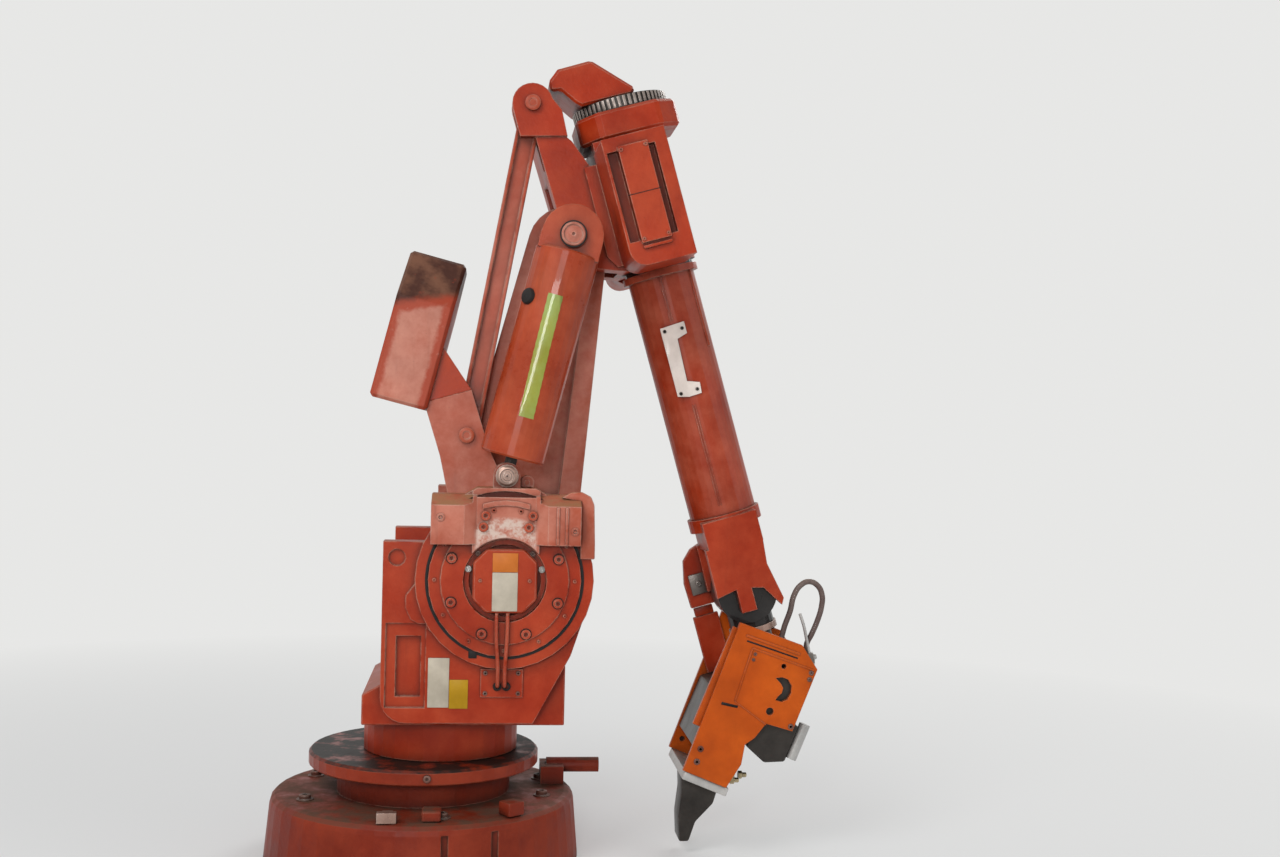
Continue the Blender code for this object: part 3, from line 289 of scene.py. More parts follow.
def screw(radius, height):
    """Head of a socket screw: a drum with a broken edge and a six-sided hole."""
    edge = radius * 0.14
    bm = turned((0, 0), (radius, 0), (radius, height - edge), (radius - edge, height), (radius * 0.62, height),
                steps=20)
    bmesh.ops.create_circle(bm, segments=6, radius=radius * 0.5, matrix=Matrix.Translation((0, 0, height)))
    bmesh.ops.bridge_loops(bm, edges=[e for e in bm.edges if not e.is_manifold])
    sunk = bmesh.ops.extrude_edge_only(bm, edges=[e for e in bm.edges if not e.is_manifold])["geom"]
    bmesh.ops.translate(bm, verts=vertices(sunk), vec=(0, 0, -height * 0.6))
    bmesh.ops.edgeloop_fill(bm, edges=[part for part in sunk if isinstance(part, bmesh.types.BMEdge)])
    return bm


def slab(outline, depth, edge=0.001):
    """Flat piece of that outline with its back on the XY plane and its edges broken."""
    bm = bmesh.new()
    face = bm.faces.new([bm.verts.new((across, up, 0)) for across, up in outline])
    grown = bmesh.ops.extrude_face_region(bm, geom=[face])["geom"]
    bmesh.ops.translate(bm, verts=vertices(grown), vec=(0, 0, depth))
    bmesh.ops.recalc_face_normals(bm, faces=bm.faces[:])
    bmesh.ops.bevel(bm, geom=bm.edges[:], affect="EDGES", offset=edge, offset_type="OFFSET", segments=2,
                    profile=0.5, material=-1, clamp_overlap=True)
    return bm


def panel(left, low, right, high, depth, edge=0.001):
    """Flat rectangular piece."""
    return slab([(left, low), (right, low), (right, high), (left, high)], depth, edge)


def put(bm, shape, *places):
    """Add a copy of a shape at each place."""
    pattern = bpy.data.meshes.new("pattern")
    shape.to_mesh(pattern)
    shape.free()
    for at in places:
        copy = pattern.copy()
        copy.transform(at)
        bm.from_mesh(copy)
        bpy.data.meshes.remove(copy)
    bpy.data.meshes.remove(pattern)
    return bm


def placed(shape, *places):
    """New piece with a copy of a shape at each place."""
    return put(bmesh.new(), shape, *places)


def facing(holder, across, up, out, far=False):
    """Place on a sideways face in the holder's frame, at a distance out from the robot's middle plane."""
    at = upright @ Matrix.Translation((across, up, out))
    return holder @ (Matrix.Scale(-1, 4, (0, 1, 0)) @ at if far else at)


def on_both(holder, across, up, out):
    """That place on the near side and on the far side."""
    return facing(holder, across, up, out), facing(holder, across, up, out, far=True)


def on_circle(radius, degrees):
    """Point on a circle."""
    return radius * math.cos(math.radians(degrees)), radius * math.sin(math.radians(degrees))


def fitted(name, bm, body, material):
    """Object of a finished shape whose place is in its mesh, with its finish, fixed to its body."""
    bmesh.ops.recalc_face_normals(bm, faces=bm.faces[:])
    mesh = bpy.data.meshes.new(name)
    bm.to_mesh(mesh)
    bm.free()
    mesh.shade_smooth()
    mesh.set_sharp_from_angle(angle=math.radians(38))
    mesh.materials.append(material)
    made = bpy.data.objects.new(name, mesh)
    scene.collection.objects.link(made)
    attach(made, body)


base_paint = weathered_and_shaded("base_paint", Paint=(0.20, 0.017, 0.004), Chalk=(0.26, 0.036, 0.013),
                       Bare=(0.34, 0.15, 0.10), Grime=(0.012, 0.008, 0.006), Dust=(0.085, 0.048, 0.030),
                       Chalking=0.7, Rubbing=0.8, Soiling=1.0, Dusting=0.9, Gloss=0.42, Dull=0.8, Edge=0.005,
                       Grain=0.42, Grain_Size=60.0)
dress(base_paint, "base_casting", "base_cable_inlet", "stop_block")
worn_bolt = weathered_and_shaded("worn_bolt", metallic=0.3, Paint=(0.16, 0.045, 0.028), Chalk=(0.24, 0.14, 0.11),
                      Bare=(0.40, 0.36, 0.33), Dust=(0.09, 0.06, 0.045), Chalking=0.8, Rubbing=1.0, Soiling=0.9,
                      Dusting=0.8, Gloss=0.35, Dull=0.6, Edge=0.002, Grain=0.2, Grain_Size=150.0)
washer_foot, screw_foot, bolt_circle = 0.2046, 0.2052, 0.385
bolt_spots = [on_circle(bolt_circle, angle) for angle in (-156, -80, -17, 17, 80, 156)]
base_bolts = placed(screw(0.018, 0.016), *[Matrix.Translation((*spot, screw_foot)) for spot in bolt_spots])
put(base_bolts, turned((0, 0), (0.026, 0), (0.026, 0.003), (0.025, 0.004), (0, 0.004)),
    *[Matrix.Translation((*spot, washer_foot)) for spot in bolt_spots])
fitted("base_bolts", base_bolts, "base", worn_bolt)
boss = placed(panel(-0.030, -0.026, 0.030, 0.026, 0.042, 0.006),
              Matrix.Translation((0.270, -0.345, 0.2045)) @ Matrix.Rotation(math.radians(38), 4, "Z"))
fitted("base_rim_boss", boss, "base", base_paint)

# Turning disc and turret body. The disc is a machined ring on the bearing, black with grease on its top, its red a
# darker copy of the paint as painted shade. The body above it is a box casting, bolted to it and painted with the
# rest.
machine = Matrix()
# The disc's red is the paint darkened: painted shade.
greasy_shaded_paint = weathered_and_shaded("greasy_shaded_paint", Paint=(0.25, 0.024, 0.006), Chalk=(0.30, 0.05, 0.02),
                         Bare=(0.3, 0.14, 0.09), Dust=(0.013, 0.009, 0.007), Chalking=0.4, Rubbing=0.9,
                         Soiling=1.0, Dusting=1.6, Gloss=0.30, Dull=0.5, Edge=0.004, Grain=0.3, Grain_Size=70.0)
dress(greasy_shaded_paint, "turn_disc")
cast_paint = weathered_and_shaded("cast_paint", Paint=(0.36, 0.026, 0.004), Chalk=(0.42, 0.062, 0.020),
                       Bare=(0.60, 0.33, 0.24), Grime=(0.022, 0.009, 0.006), Dust=(0.24, 0.13, 0.085),
                       Chalking=0.6, Rubbing=0.9, Soiling=0.85, Dusting=0.5, Gloss=0.36, Dull=0.62, Edge=0.005,
                       Grain=0.26, Grain_Size=110.0)
dress(cast_paint, "turret_body", "side_plate_near", "side_plate_far", "gear_flange_near", "gear_flange_far",
      "motor_cover_near", "motor_cover_far", "connector_plate", "motor_cable_left", "motor_cable_right",
      "upper_arm", "motor_housing_near", "motor_housing_far", "rear_cap", "rear_cover", "wrist_housing",
      "wrist_bracket", "gun_side_bar", "counterweight_bracket")
disc_screws = placed(screw(0.011, 0.007), *on_both(machine, 0.021, 0.3135, 0.3575))
fitted("disc_screws", disc_screws, "turret", worn_bolt)

# Side plates. Ribbed castings that carry the shoulder, each with a black ring of painted shade in the gap round its
# gear flange. On the near one are two blank plates and the plate where the motor's two cables end.
shoulder = Matrix.Translation((0.235, 0, 0.9))
side_face, gap_shade_foot, connector_face, ring_face = 0.3451, 0.3456, 0.3511, 0.3600
plate_wear = dict(Rubbing=0.7, Dusting=0.2, Gloss=0.4, Dull=0.6, Edge=0.001, Grain=0.05, Grain_Size=200.0)
plain_white = weathered_and_shaded("plain_white", Paint=(0.46, 0.40, 0.31), Chalk=(0.56, 0.50, 0.40), Bare=(0.36, 0.30, 0.24),
                        Grime=(0.16, 0.09, 0.05), Chalking=0.8, Soiling=0.8, **plate_wear)
plain_yellow = weathered_and_shaded("plain_yellow", Paint=(0.46, 0.25, 0.004), Chalk=(0.52, 0.32, 0.03),
                         Bare=(0.40, 0.24, 0.10), Grime=(0.16, 0.08, 0.02), Chalking=0.6, Soiling=0.5, **plate_wear)
plain_orange = weathered_and_shaded("plain_orange", Paint=(0.55, 0.14, 0.015), Chalk=(0.58, 0.19, 0.04),
                         Bare=(0.46, 0.2, 0.1), Grime=(0.16, 0.07, 0.02), Chalking=0.6, Soiling=0.5, **plate_wear)
black_rubber = weathered_and_shaded("black_rubber", Paint=(0.010, 0.009, 0.009), Chalk=(0.024, 0.02, 0.018),
                         Bare=(0.05, 0.045, 0.04), Dust=(0.03, 0.022, 0.017), Chalking=0.6, Rubbing=0.5,
                         Soiling=0.5, Dusting=0.4, Gloss=0.45, Dull=0.75, Edge=0.002, Grain=0.25, Grain_Size=160.0)
for name, corners, finish in (("tall_blank_plate", (-0.219, -0.379, -0.157, -0.233), plain_white),
                              ("small_blank_plate", (-0.156, -0.382, -0.101, -0.297), plain_yellow)):
    blank = placed(panel(*corners, 0.0015, 0.0005), facing(shoulder, 0, 0, side_face))
    fitted(name, blank, "turret", finish)
connector_screws = placed(screw(0.0065, 0.003), *[facing(shoulder, across, up, connector_face) for across, up in
                          ((-0.051, -0.276), (0.046, -0.276), (-0.051, -0.336), (0.046, -0.336))])
fitted("connector_screws", connector_screws, "turret", worn_bolt)
grommet = turned((0.0068, 0), (0.0125, 0), (0.0125, 0.004), (0.0105, 0.007), (0.0068, 0.007), (0.0068, 0), steps=24)
grommets = placed(grommet, *[facing(shoulder, across, -0.3155, connector_face) for across in (-0.0155, 0.0115)])
fitted("cable_grommets", grommets, "turret", black_rubber)
ring_stop = placed(panel(-0.102, -0.230, -0.077, -0.206, 0.013, 0.003), facing(shoulder, 0, 0, ring_face))
fitted("ring_stop", ring_stop, "turret", black_rubber)
# Black ring in the gap round each gear flange: painted shade.
gap_shade_ring = turned((0.2246, 0), (0.2284, 0), (0.2284, 0.0244), (0.2325, 0.0244), (0.2325, 0.0258), (0.2246, 0.0258),
              (0.2246, 0), steps=96)
fitted("flange_gap_shade", placed(gap_shade_ring, *on_both(shoulder, 0, 0, gap_shade_foot)), "turret", black_rubber)

# Gear flanges. A machined disc on each side closes the shoulder gear, held by eight big socket screws and a ring of
# small ones. The octagonal motor cover stands in its bore, inside a ledge.
step_face, flange_face, cover_face, bore_floor, ledge_face = 0.3779, 0.3849, 0.3939, 0.3612, 0.3741
flange_screws = bmesh.new()
big_spots = [on_circle(0.169, 22.5 + 45 * step) for step in range(8)]
for spot in big_spots:
    put(flange_screws, screw(0.0145, 0.010), *on_both(shoulder, *spot, flange_face))
for angle in range(0, 360, 30):
    if not 60 <= angle <= 120:
        put(flange_screws, screw(0.0058, 0.004), *on_both(shoulder, *on_circle(0.2055, angle), step_face))
for across in (-0.072, 0.072):
    put(flange_screws, screw(0.0055, 0.003), *on_both(shoulder, across, 0.001, cover_face))
fitted("flange_screws", flange_screws, "turret", cast_paint)
seats = bmesh.new()
for spot in big_spots:
    put(seats, turned((0.0152, 0), (0.0172, 0), (0.0172, 0.0012), (0.0152, 0.0012), (0.0152, 0), steps=24),
        *on_both(shoulder, *spot, flange_face))
fitted("screw_seats", seats, "turret", black_rubber)
ledge = turned((0.104, 0), (0.1216, 0), (0.1216, 0.011), (0.1196, 0.013), (0.106, 0.013), (0.104, 0.011),
               (0.104, 0), steps=64)
fitted("bore_ledges", placed(ledge, *on_both(shoulder, 0, 0, bore_floor)), "turret", cast_paint)
bright_steel = weathered_and_shaded("bright_steel", metallic=0.85, specular=0.5, Paint=(0.44, 0.42, 0.40),
                         Chalk=(0.56, 0.54, 0.50), Bare=(0.7, 0.68, 0.65), Dust=(0.2, 0.15, 0.1), Chalking=0.6,
                         Rubbing=0.9, Soiling=0.5, Dusting=0.3, Gloss=0.28, Dull=0.5, Edge=0.001, Grain=0.06,
                         Grain_Size=200.0)
washer = turned((0, 0), (0.0098, 0), (0.0098, 0.0015), (0.009, 0.0022), (0, 0.0022), steps=24)
washer_screws = bmesh.new()
for shape, out in ((washer, ledge_face), (screw(0.0055, 0.005), 0.376)):
    put(washer_screws, shape, *on_both(shoulder, -0.1075, 0.033, out), *on_both(shoulder, 0.1075, 0.033, out))
fitted("washer_screws", washer_screws, "turret", bright_steel)
ledge_screws = placed(screw(0.0085, 0.006), *on_both(shoulder, -0.080, 0.079, ledge_face),
                      *on_both(shoulder, 0.080, 0.079, ledge_face))
fitted("ledge_screws", ledge_screws, "turret", worn_bolt)
for name, low, high, finish in (("cover_orange_plate", 0.026, 0.082, plain_orange),
                                ("cover_white_plate", -0.088, 0.025, plain_white)):
    blank = placed(panel(-0.037, low, 0.037, high, 0.0015, 0.0005), facing(shoulder, 0, 0, cover_face))
    fitted(name, blank, "turret", finish)

# Stop bridges. Castings bolted over each flange, with two blocks that end the lower arm's travel and a lug for the
# balance cylinder's pin. Hands and rags have rubbed the arch under the bridge nearly white.
bridge_paint = weathered_and_shaded("bridge_paint", Paint=(0.42, 0.066, 0.024), Chalk=(0.50, 0.20, 0.14),
                         Bare=(0.66, 0.44, 0.36), Grime=(0.03, 0.014, 0.010), Dust=(0.34, 0.17, 0.08),
                         Chalking=0.8, Rubbing=1.0, Soiling=0.7, Dusting=0.9, Gloss=0.38, Dull=0.66, Edge=0.006,
                         Grain=0.3, Grain_Size=90.0)


def repaint(material, colour):
    """Give a material a colour of its own, made from the weathered one."""
    material.node_tree.links.new(colour, material.node_tree.nodes["Principled BSDF"].inputs["Base Color"])


tree = bridge_paint.node_tree
from_shoulder = feed(tree, node(tree, "Mapping"), node(tree, "TexCoord").outputs["Object"], (-0.235, 0.0, -0.9))
sides = axes(tree, from_shoulder)
squares = [sums(tree, "MULTIPLY", sides[axis], sides[axis]) for axis in ("X", "Z")]
away = sums(tree, "SQRT", sums(tree, "ADD", *squares))
arch = sums(tree, "MULTIPLY", ramp(tree, away, 0.124, 0.130), rest_of(tree, ramp(tree, away, 0.176, 0.192)))
narrow = rest_of(tree, ramp(tree, sums(tree, "ABSOLUTE", sides["X"]), 0.078, 0.096))
arch = sums(tree, "MULTIPLY", arch, narrow)
scuffs = ramp(tree, cloud(tree, from_shoulder, 38.0, 8.0, 0.78), 0.38, 0.58)
arch = sums(tree, "MULTIPLY", arch, scuffs, clamp=True)
repaint(bridge_paint, blended(tree, arch, tree.nodes["wear_and_shade"].outputs["Color"], (0.66, 0.50, 0.42, 1)))
dress(bridge_paint, "stop_bridge_near", "stop_bridge_far")
bridge_face, block_face, hook_back, lug_middle = 0.3999, 0.4249, 0.372, 0.300
bridge_screws = bmesh.new()
for across, up in ((-0.060, 0.191), (-0.066, 0.158), (0.077, 0.192), (0.066, 0.158)):
    put(bridge_screws, screw(0.0145, 0.009), *on_both(shoulder, across, up, bridge_face))
for across, up in ((-0.037, 0.207), (0.042, 0.205)):
    put(bridge_screws, screw(0.007, 0.004), *on_both(shoulder, across, up, bridge_face))
fitted("bridge_screws", bridge_screws, "turret", cast_paint)
strip = slab([(-0.069, 0.210), (-0.035, 0.218), (0, 0.221), (0.035, 0.218), (0.069, 0.210), (0.069, 0.226),
              (0.035, 0.234), (0, 0.237), (-0.035, 0.234), (-0.069, 0.226)], 0.006, 0.0015)
bridge_trim = placed(strip, *on_both(shoulder, 0, 0, 0.3995))
for left in (0.146, 0.172):
    put(bridge_trim, panel(left, 0.110, left + 0.008, 0.219, 0.005, 0.001), *on_both(shoulder, 0, 0, 0.4245))
stud = turned((0, 0), (0.012, 0), (0.012, 0.002), (0.010, 0.003), (0.006, 0.003), (0.006, 0.001), (0, 0.001),
              steps=24)
put(bridge_trim, stud, *on_both(shoulder, 0.200, 0.149, block_face), *on_both(shoulder, -0.190, 0.186, block_face))
hook = slab([(0.160, 0.246), (0.188, 0.262), (0.221, 0.264), (0.248, 0.250), (0.258, 0.226), (0.262, 0.110),
             (0.262, 0.066), (0.219, 0.066), (0.219, 0.150), (0.2185, 0.236)], 0.016, 0.004)
put(bridge_trim, hook, *on_both(shoulder, 0, 0, hook_back))
lifting_eye = turned((0.007, 0), (0.020, 0), (0.022, 0.002), (0.022, 0.010), (0.020, 0.012), (0.007, 0.012),
                     (0.007, 0), steps=32)
put(bridge_trim, lifting_eye, *on_both(shoulder, 0.060, 0.286, lug_middle))
put(bridge_trim, panel(0.040, 0.255, 0.080, 0.276, 0.012, 0.002), *on_both(shoulder, 0, 0, lug_middle))
fitted("bridge_trim", bridge_trim, "turret", bridge_paint)
pin_cap = turned((0, 0), (0.030, 0), (0.030, 0.003), (0.026, 0.006), (0.021, 0.006), (0.019, 0.003),
                 (0.013, 0.003), (0.012, 0.007), (0, 0.007), steps=40)
pin_height = 0.306
pin_caps = placed(pin_cap, *on_both(shoulder, 0, pin_height, 0.3569))
put(pin_caps, screw(0.0065, 0.004), *on_both(shoulder, 0, pin_height, 0.3636))
pin_steel = weathered_and_shaded("pin_steel", metallic=0.55, specular=0.5, Paint=(0.36, 0.22, 0.17), Chalk=(0.50, 0.36, 0.30),
                      Bare=(0.66, 0.60, 0.55), Dust=(0.2, 0.12, 0.08), Chalking=0.8, Rubbing=1.0, Soiling=0.9,
                      Dusting=0.4, Gloss=0.28, Dull=0.5, Edge=0.002, Grain=0.1, Grain_Size=160.0)
fitted("spring_pin_caps", pin_caps, "turret", pin_steel)
dress(pin_steel, "stop_bracket", "spring_pin_near", "spring_pin_far", "turning_disc")

# Lower arm. A long box casting between the shoulder and the elbow, pale on its broad faces, partly chalk where years
# of cleaning have dulled them and partly a painted sheen. The elbow shaft's ends stand out at both sides under round
# caps.
# This paint's pale chalk colour is partly a painted sheen on the broad faces.
chalk_and_sheen_paint = weathered_and_shaded("chalk_and_sheen_paint", Paint=(0.42, 0.072, 0.028), Chalk=(0.50, 0.20, 0.145),
                         Bare=(0.62, 0.40, 0.32), Grime=(0.05, 0.022, 0.016), Dust=(0.26, 0.15, 0.11),
                         Chalking=1.0, Rubbing=0.9, Soiling=0.6, Dusting=0.8, Gloss=0.36, Dull=0.62, Edge=0.006,
                         Grain=0.26, Grain_Size=80.0)
dress(chalk_and_sheen_paint, "lower_arm", "elbow_shaft", "parallel_arm", "link_pin_lower")
lower_lean, lower_length = math.radians(9.9), 1.040
lower = shoulder @ Matrix.Rotation(lower_lean, 4, "Y")
elbow_cap = turned((0, 0), (0.036, 0), (0.036, 0.003), (0.033, 0.006), (0.029, 0.006), (0.027, 0.002),
                   (0.012, 0.002), (0.009, 0.004), (0.005, 0.004), (0.003, 0.001), (0, 0.001), steps=48)
fitted("elbow_caps", placed(elbow_cap, *on_both(lower, 0, lower_length, 0.3719)), "lower_arm", chalk_and_sheen_paint)
# Black ring round each cap: painted shade in the groove there.
groove_shade_ring = turned((0.0362, 0), (0.0405, 0), (0.0405, 0.0015), (0.0362, 0.0015), (0.0362, 0), steps=48)
fitted("elbow_groove_shade", placed(groove_shade_ring, *on_both(lower, 0, lower_length, 0.3722)), "lower_arm", black_rubber)

# Parallel linkage. A crank arm beside the lower arm carries the counterweight, a steel block with broken edges, and
# a flat rod with raised edges carries its motion up to the upper arm. The block's face is pale in its middle, partly
# chalk and partly a painted sheen, keeps the red paint at its rim, and is darker towards its top, and its faces that
# look up are dark brown.
weight_chalk_and_sheen = weathered_and_shaded("weight_chalk_and_sheen", Paint=(0.41, 0.080, 0.038), Chalk=(0.50, 0.22, 0.16),
                         Bare=(0.60, 0.42, 0.34), Grime=(0.05, 0.024, 0.017), Dust=(0.075, 0.032, 0.022),
                         Chalking=0.9, Rubbing=0.7, Soiling=0.65, Dusting=1.5, Gloss=0.4, Dull=0.7, Edge=0.006,
                         Grain=0.22, Grain_Size=70.0)
tree = weight_chalk_and_sheen.node_tree
block_middle, block_lean = (-0.0442, 0.0, 1.6442), (0.0, math.radians(13.8), 0.0)
in_block = feed(tree, node(tree, "Mapping", vector_type="TEXTURE"), node(tree, "TexCoord").outputs["Object"],
                block_middle, block_lean)
sides = axes(tree, in_block)
blots = cloud(tree, in_block, 26.0, 6.0, 0.7)
ragged = sums(tree, "MULTIPLY", sums(tree, "SUBTRACT", blots, 0.5), 0.035)
near_edge = sums(tree, "ADD", sums(tree, "ABSOLUTE", sides["X"]), ragged)
near_top = sums(tree, "ADD", sums(tree, "MULTIPLY_ADD", sides["X"], -0.42, sides["Z"]), ragged)
# Pale middle of the face: partly chalk, partly a painted sheen; the rim keeps the red paint, and the top is darker.
red_rim = sums(tree, "MAXIMUM", ramp(tree, near_edge, 0.052, 0.070), ramp(tree, near_top, 0.052, 0.072))
red_rim = sums(tree, "MULTIPLY", red_rim, rest_of(tree, ramp(tree, blots, 0.60, 0.75)))
red_rim = sums(tree, "MULTIPLY", red_rim, 0.85)
darker_top = sums(tree, "MULTIPLY", ramp(tree, near_top, 0.076, 0.112), ramp(tree, blots, 0.16, 0.40))
darker_top = sums(tree, "MULTIPLY", darker_top, 0.93)
top_colour = blended(tree, ramp(tree, cloud(tree, in_block, 9.0, 4.0, 0.6), 0.40, 0.66), (0.038, 0.018, 0.012, 1),
               (0.17, 0.082, 0.048, 1))
colour = blended(tree, red_rim, tree.nodes["wear_and_shade"].outputs["Color"], (0.36, 0.042, 0.014, 1))
repaint(weight_chalk_and_sheen, blended(tree, darker_top, colour, top_colour))
dress(weight_chalk_and_sheen, "counterweight")
rod_paint = weathered_and_shaded("rod_paint", Paint=(0.40, 0.060, 0.024), Chalk=(0.48, 0.15, 0.10),
                      Bare=(0.58, 0.36, 0.28), Chalking=0.8, Rubbing=0.9, Soiling=0.7, Dusting=0.5, Gloss=0.36,
                      Dull=0.62, Edge=0.004, Grain=0.2, Grain_Size=90.0)
dress(rod_paint, "parallel_rod", "link_pin_upper")
link = Matrix.Translation((0.112244, 0, 1.322529)) @ Matrix.Rotation(lower_lean, 4, "Y")
rod_near_face, rod_far_face = 0.1399, 0.1001
rod_edges = bmesh.new()
for across in (-0.0335, 0.0245):
    put(rod_edges, panel(across, 0.062, across + 0.009, 0.978, 0.003, 0.001), facing(link, 0, 0, rod_near_face),
        facing(link, 0, 0, rod_far_face) @ Matrix.Scale(-1, 4, (0, 0, 1)))
fitted("rod_edges", rod_edges, "parallel_rod", rod_paint)
upper_lean, crank_length, link_face = Matrix.Rotation(math.radians(-16.2), 4, "Y"), 0.440, 0.1839
crank = shoulder @ upper_lean
elbow = (0.413806, 0, 1.924514)
upper = Matrix.Translation(elbow) @ upper_lean
for name, holder, body, finish in (("lower_link_cap", crank, "parallel_arm", chalk_and_sheen_paint),
                                   ("upper_link_cap", upper, "upper_arm", rod_paint)):
    cap = turned((0, 0), (0.024, 0), (0.024, 0.003), (0.021, 0.005), (0.013, 0.005), (0.011, 0.003), (0, 0.003))
    fitted(name, placed(cap, facing(holder, 0, crank_length, link_face)), body, finish)

# Balance cylinders. Drawn steel tubes with the smoothest coat of paint on the machine, each with a heavy spring
# inside. Two strips of yellow-green tape are stuck down the near one, and a dark plug closes its filling hole.
tube_paint = weathered_and_shaded("tube_paint", coat=0.12, Paint=(0.37, 0.040, 0.009), Chalk=(0.42, 0.085, 0.034),
                       Bare=(0.5, 0.25, 0.16), Grime=(0.06, 0.02, 0.012), Chalking=0.7, Rubbing=0.7, Soiling=0.6,
                       Dusting=0.4, Gloss=0.26, Dull=0.5, Edge=0.004, Grain=0.06, Grain_Size=60.0)
dress(tube_paint, "balance_cylinder_near", "balance_cylinder_far")
dark_steel = weathered_and_shaded("dark_steel", metallic=0.5, Paint=(0.045, 0.040, 0.036), Chalk=(0.085, 0.074, 0.065),
                       Bare=(0.30, 0.28, 0.26), Dust=(0.09, 0.06, 0.04), Chalking=0.6, Rubbing=0.8, Soiling=0.6,
                       Dusting=0.6, Gloss=0.34, Dull=0.6, Edge=0.002, Grain=0.16, Grain_Size=120.0)
dress(dark_steel, "piston_rod_near", "piston_rod_far", "rear_collar", "gun_adapter", "gun_transformer",
      "gun_actuator")
near_spring = Matrix.Translation((elbow[0], -0.3, elbow[2])) @ Matrix.Rotation(math.radians(13.97), 4, "Y")


def tape(top, bottom, across, lean, thickness):
    """Strip of tape that lies round the near cylinder's front, with its long edges a little ragged."""
    radius, width = 0.0973, 0.045
    bm = bmesh.new()
    bmesh.ops.create_grid(bm, x_segments=8, y_segments=30, size=0.5)
    for vert in bm.verts:
        share = 0.5 - vert.co.y
        ragged = 0.0012 * math.sin(vert.co.y * 47) * (abs(vert.co.x) > 0.49)
        angle = (across + lean * share + vert.co.x * (width + ragged)) / radius
        vert.co = (radius * math.sin(angle), -radius * math.cos(angle), top + (bottom - top) * share)
    bmesh.ops.recalc_face_normals(bm, faces=bm.faces[:])
    bmesh.ops.solidify(bm, geom=bm.faces[:], thickness=-thickness)
    return placed(bm, near_spring)


# The tape's pale green patches are painted highlight, and its dark green is painted shade.
tape_sheen_and_shade = weathered_and_shaded("tape_sheen_and_shade", coat=0.25, Paint=(0.33, 0.32, 0.022), Chalk=(0.30, 0.38, 0.11),
                      Bare=(0.5, 0.5, 0.3), Grime=(0.045, 0.07, 0.012), Chalking=1.0, Rubbing=0.4, Soiling=1.2,
                      Dusting=0.2, Gloss=0.30, Dull=0.6, Edge=0.001, Grain=0.16, Grain_Size=120.0)
fitted("upper_tape", tape(-0.189, -0.395, -0.004, 0.004, 0.0004), "spring_near", tape_sheen_and_shade)
fitted("lower_tape", tape(-0.372, -0.560, 0.000, 0.007, 0.0008), "spring_near", tape_sheen_and_shade)
plug = turned((0, -0.012), (0.025, -0.012), (0.025, 0.006), (0.022, 0.011), (0.013, 0.014), (0, 0.015), steps=40)
round_the_tube = Matrix.Rotation(math.asin(-0.079 / 0.097), 4, "Z")
plug_place = near_spring @ round_the_tube @ facing(machine, 0, -0.212, 0.0955)
fitted("filling_plug", placed(plug, plug_place), "spring_near", black_rubber)

# Upper arm. A housing with the wrist motors' covers on both sides, a web with raised eyes at the elbow and at the
# rod's pin, a faceted cap, and a knurled collar with grime and painted shade in its grooves.
motor_face, web_face = 0.4449, 0.1779
arm_screws = bmesh.new()
for across, up in ((0.190, -0.072), (0.264, -0.072), (0.190, 0.195), (0.264, 0.195)):
    put(arm_screws, screw(0.006, 0.003), *on_both(upper, across, up, motor_face))
for across, up in ((0.060, 0.060), (-0.062, -0.034), (0.020, -0.070)):
    put(arm_screws, screw(0.007, 0.004), *on_both(upper, across, up, web_face))
fitted("upper_arm_screws", arm_screws, "upper_arm", cast_paint)
brackets = placed(panel(0.184, -0.100, 0.270, -0.091, 0.012, 0.002), *on_both(upper, 0, 0, 0.4295))
fitted("wire_brackets", brackets, "upper_arm", cast_paint)
cover_seams = placed(panel(0.176, 0.060, 0.278, 0.062, 0.0012, 0.0004), *on_both(upper, 0, 0, 0.4448))
fitted("housing_seams", cover_seams, "upper_arm", black_rubber)
collar, collar_radius, rib_count = upper @ Matrix.Translation((0.280, 0, 0.3690)), 0.1492, 56
ribs = placed(panel(-0.0048, 0.001, 0.0048, 0.034, 0.004, 0.001),
              *[collar @ Matrix.Rotation(math.tau * step / rib_count, 4, "Z") @ facing(machine, 0, 0, collar_radius)
                for step in range(rib_count)])
knurl_steel = weathered_and_shaded("knurl_steel", metallic=0.4, Paint=(0.30, 0.25, 0.22), Chalk=(0.52, 0.47, 0.43),
                        Bare=(0.6, 0.56, 0.52), Grime=(0.02, 0.014, 0.011), Dust=(0.10, 0.07, 0.05), Chalking=0.9,
                        Rubbing=1.0, Soiling=1.1, Dusting=0.5, Gloss=0.35, Dull=0.6, Edge=0.002, Grain=0.15,
                        Grain_Size=120.0)
fitted("collar_ribs", ribs, "upper_arm", knurl_steel)

# Tube. The forearm's drawn tube turns in a greasy seal, with two pairs of raised seams, a side lip and a white
# C-shaped plate on four screws.
arm_paint = weathered_and_shaded("arm_paint", coat=0.05, Paint=(0.33, 0.030, 0.007), Chalk=(0.40, 0.095, 0.050),
                      Bare=(0.55, 0.32, 0.24), Grime=(0.04, 0.015, 0.010), Chalking=0.8, Rubbing=0.9, Soiling=0.7,
                      Dusting=0.5, Gloss=0.32, Dull=0.58, Edge=0.004, Grain=0.14, Grain_Size=80.0)
dress(arm_paint, "arm_tube")
black_grease = weathered_and_shaded("black_grease", metallic=0.1, coat=0.3, Paint=(0.016, 0.015, 0.015),
                         Chalk=(0.04, 0.036, 0.033), Bare=(0.12, 0.11, 0.10), Dust=(0.05, 0.038, 0.028),
                         Chalking=0.5, Rubbing=0.5, Soiling=0.5, Dusting=0.5, Gloss=0.3, Dull=0.6, Edge=0.002,
                         Grain=0.2, Grain_Size=100.0)
dress(black_grease, "tube_seal", "tilt_housing")
seams = bmesh.new()
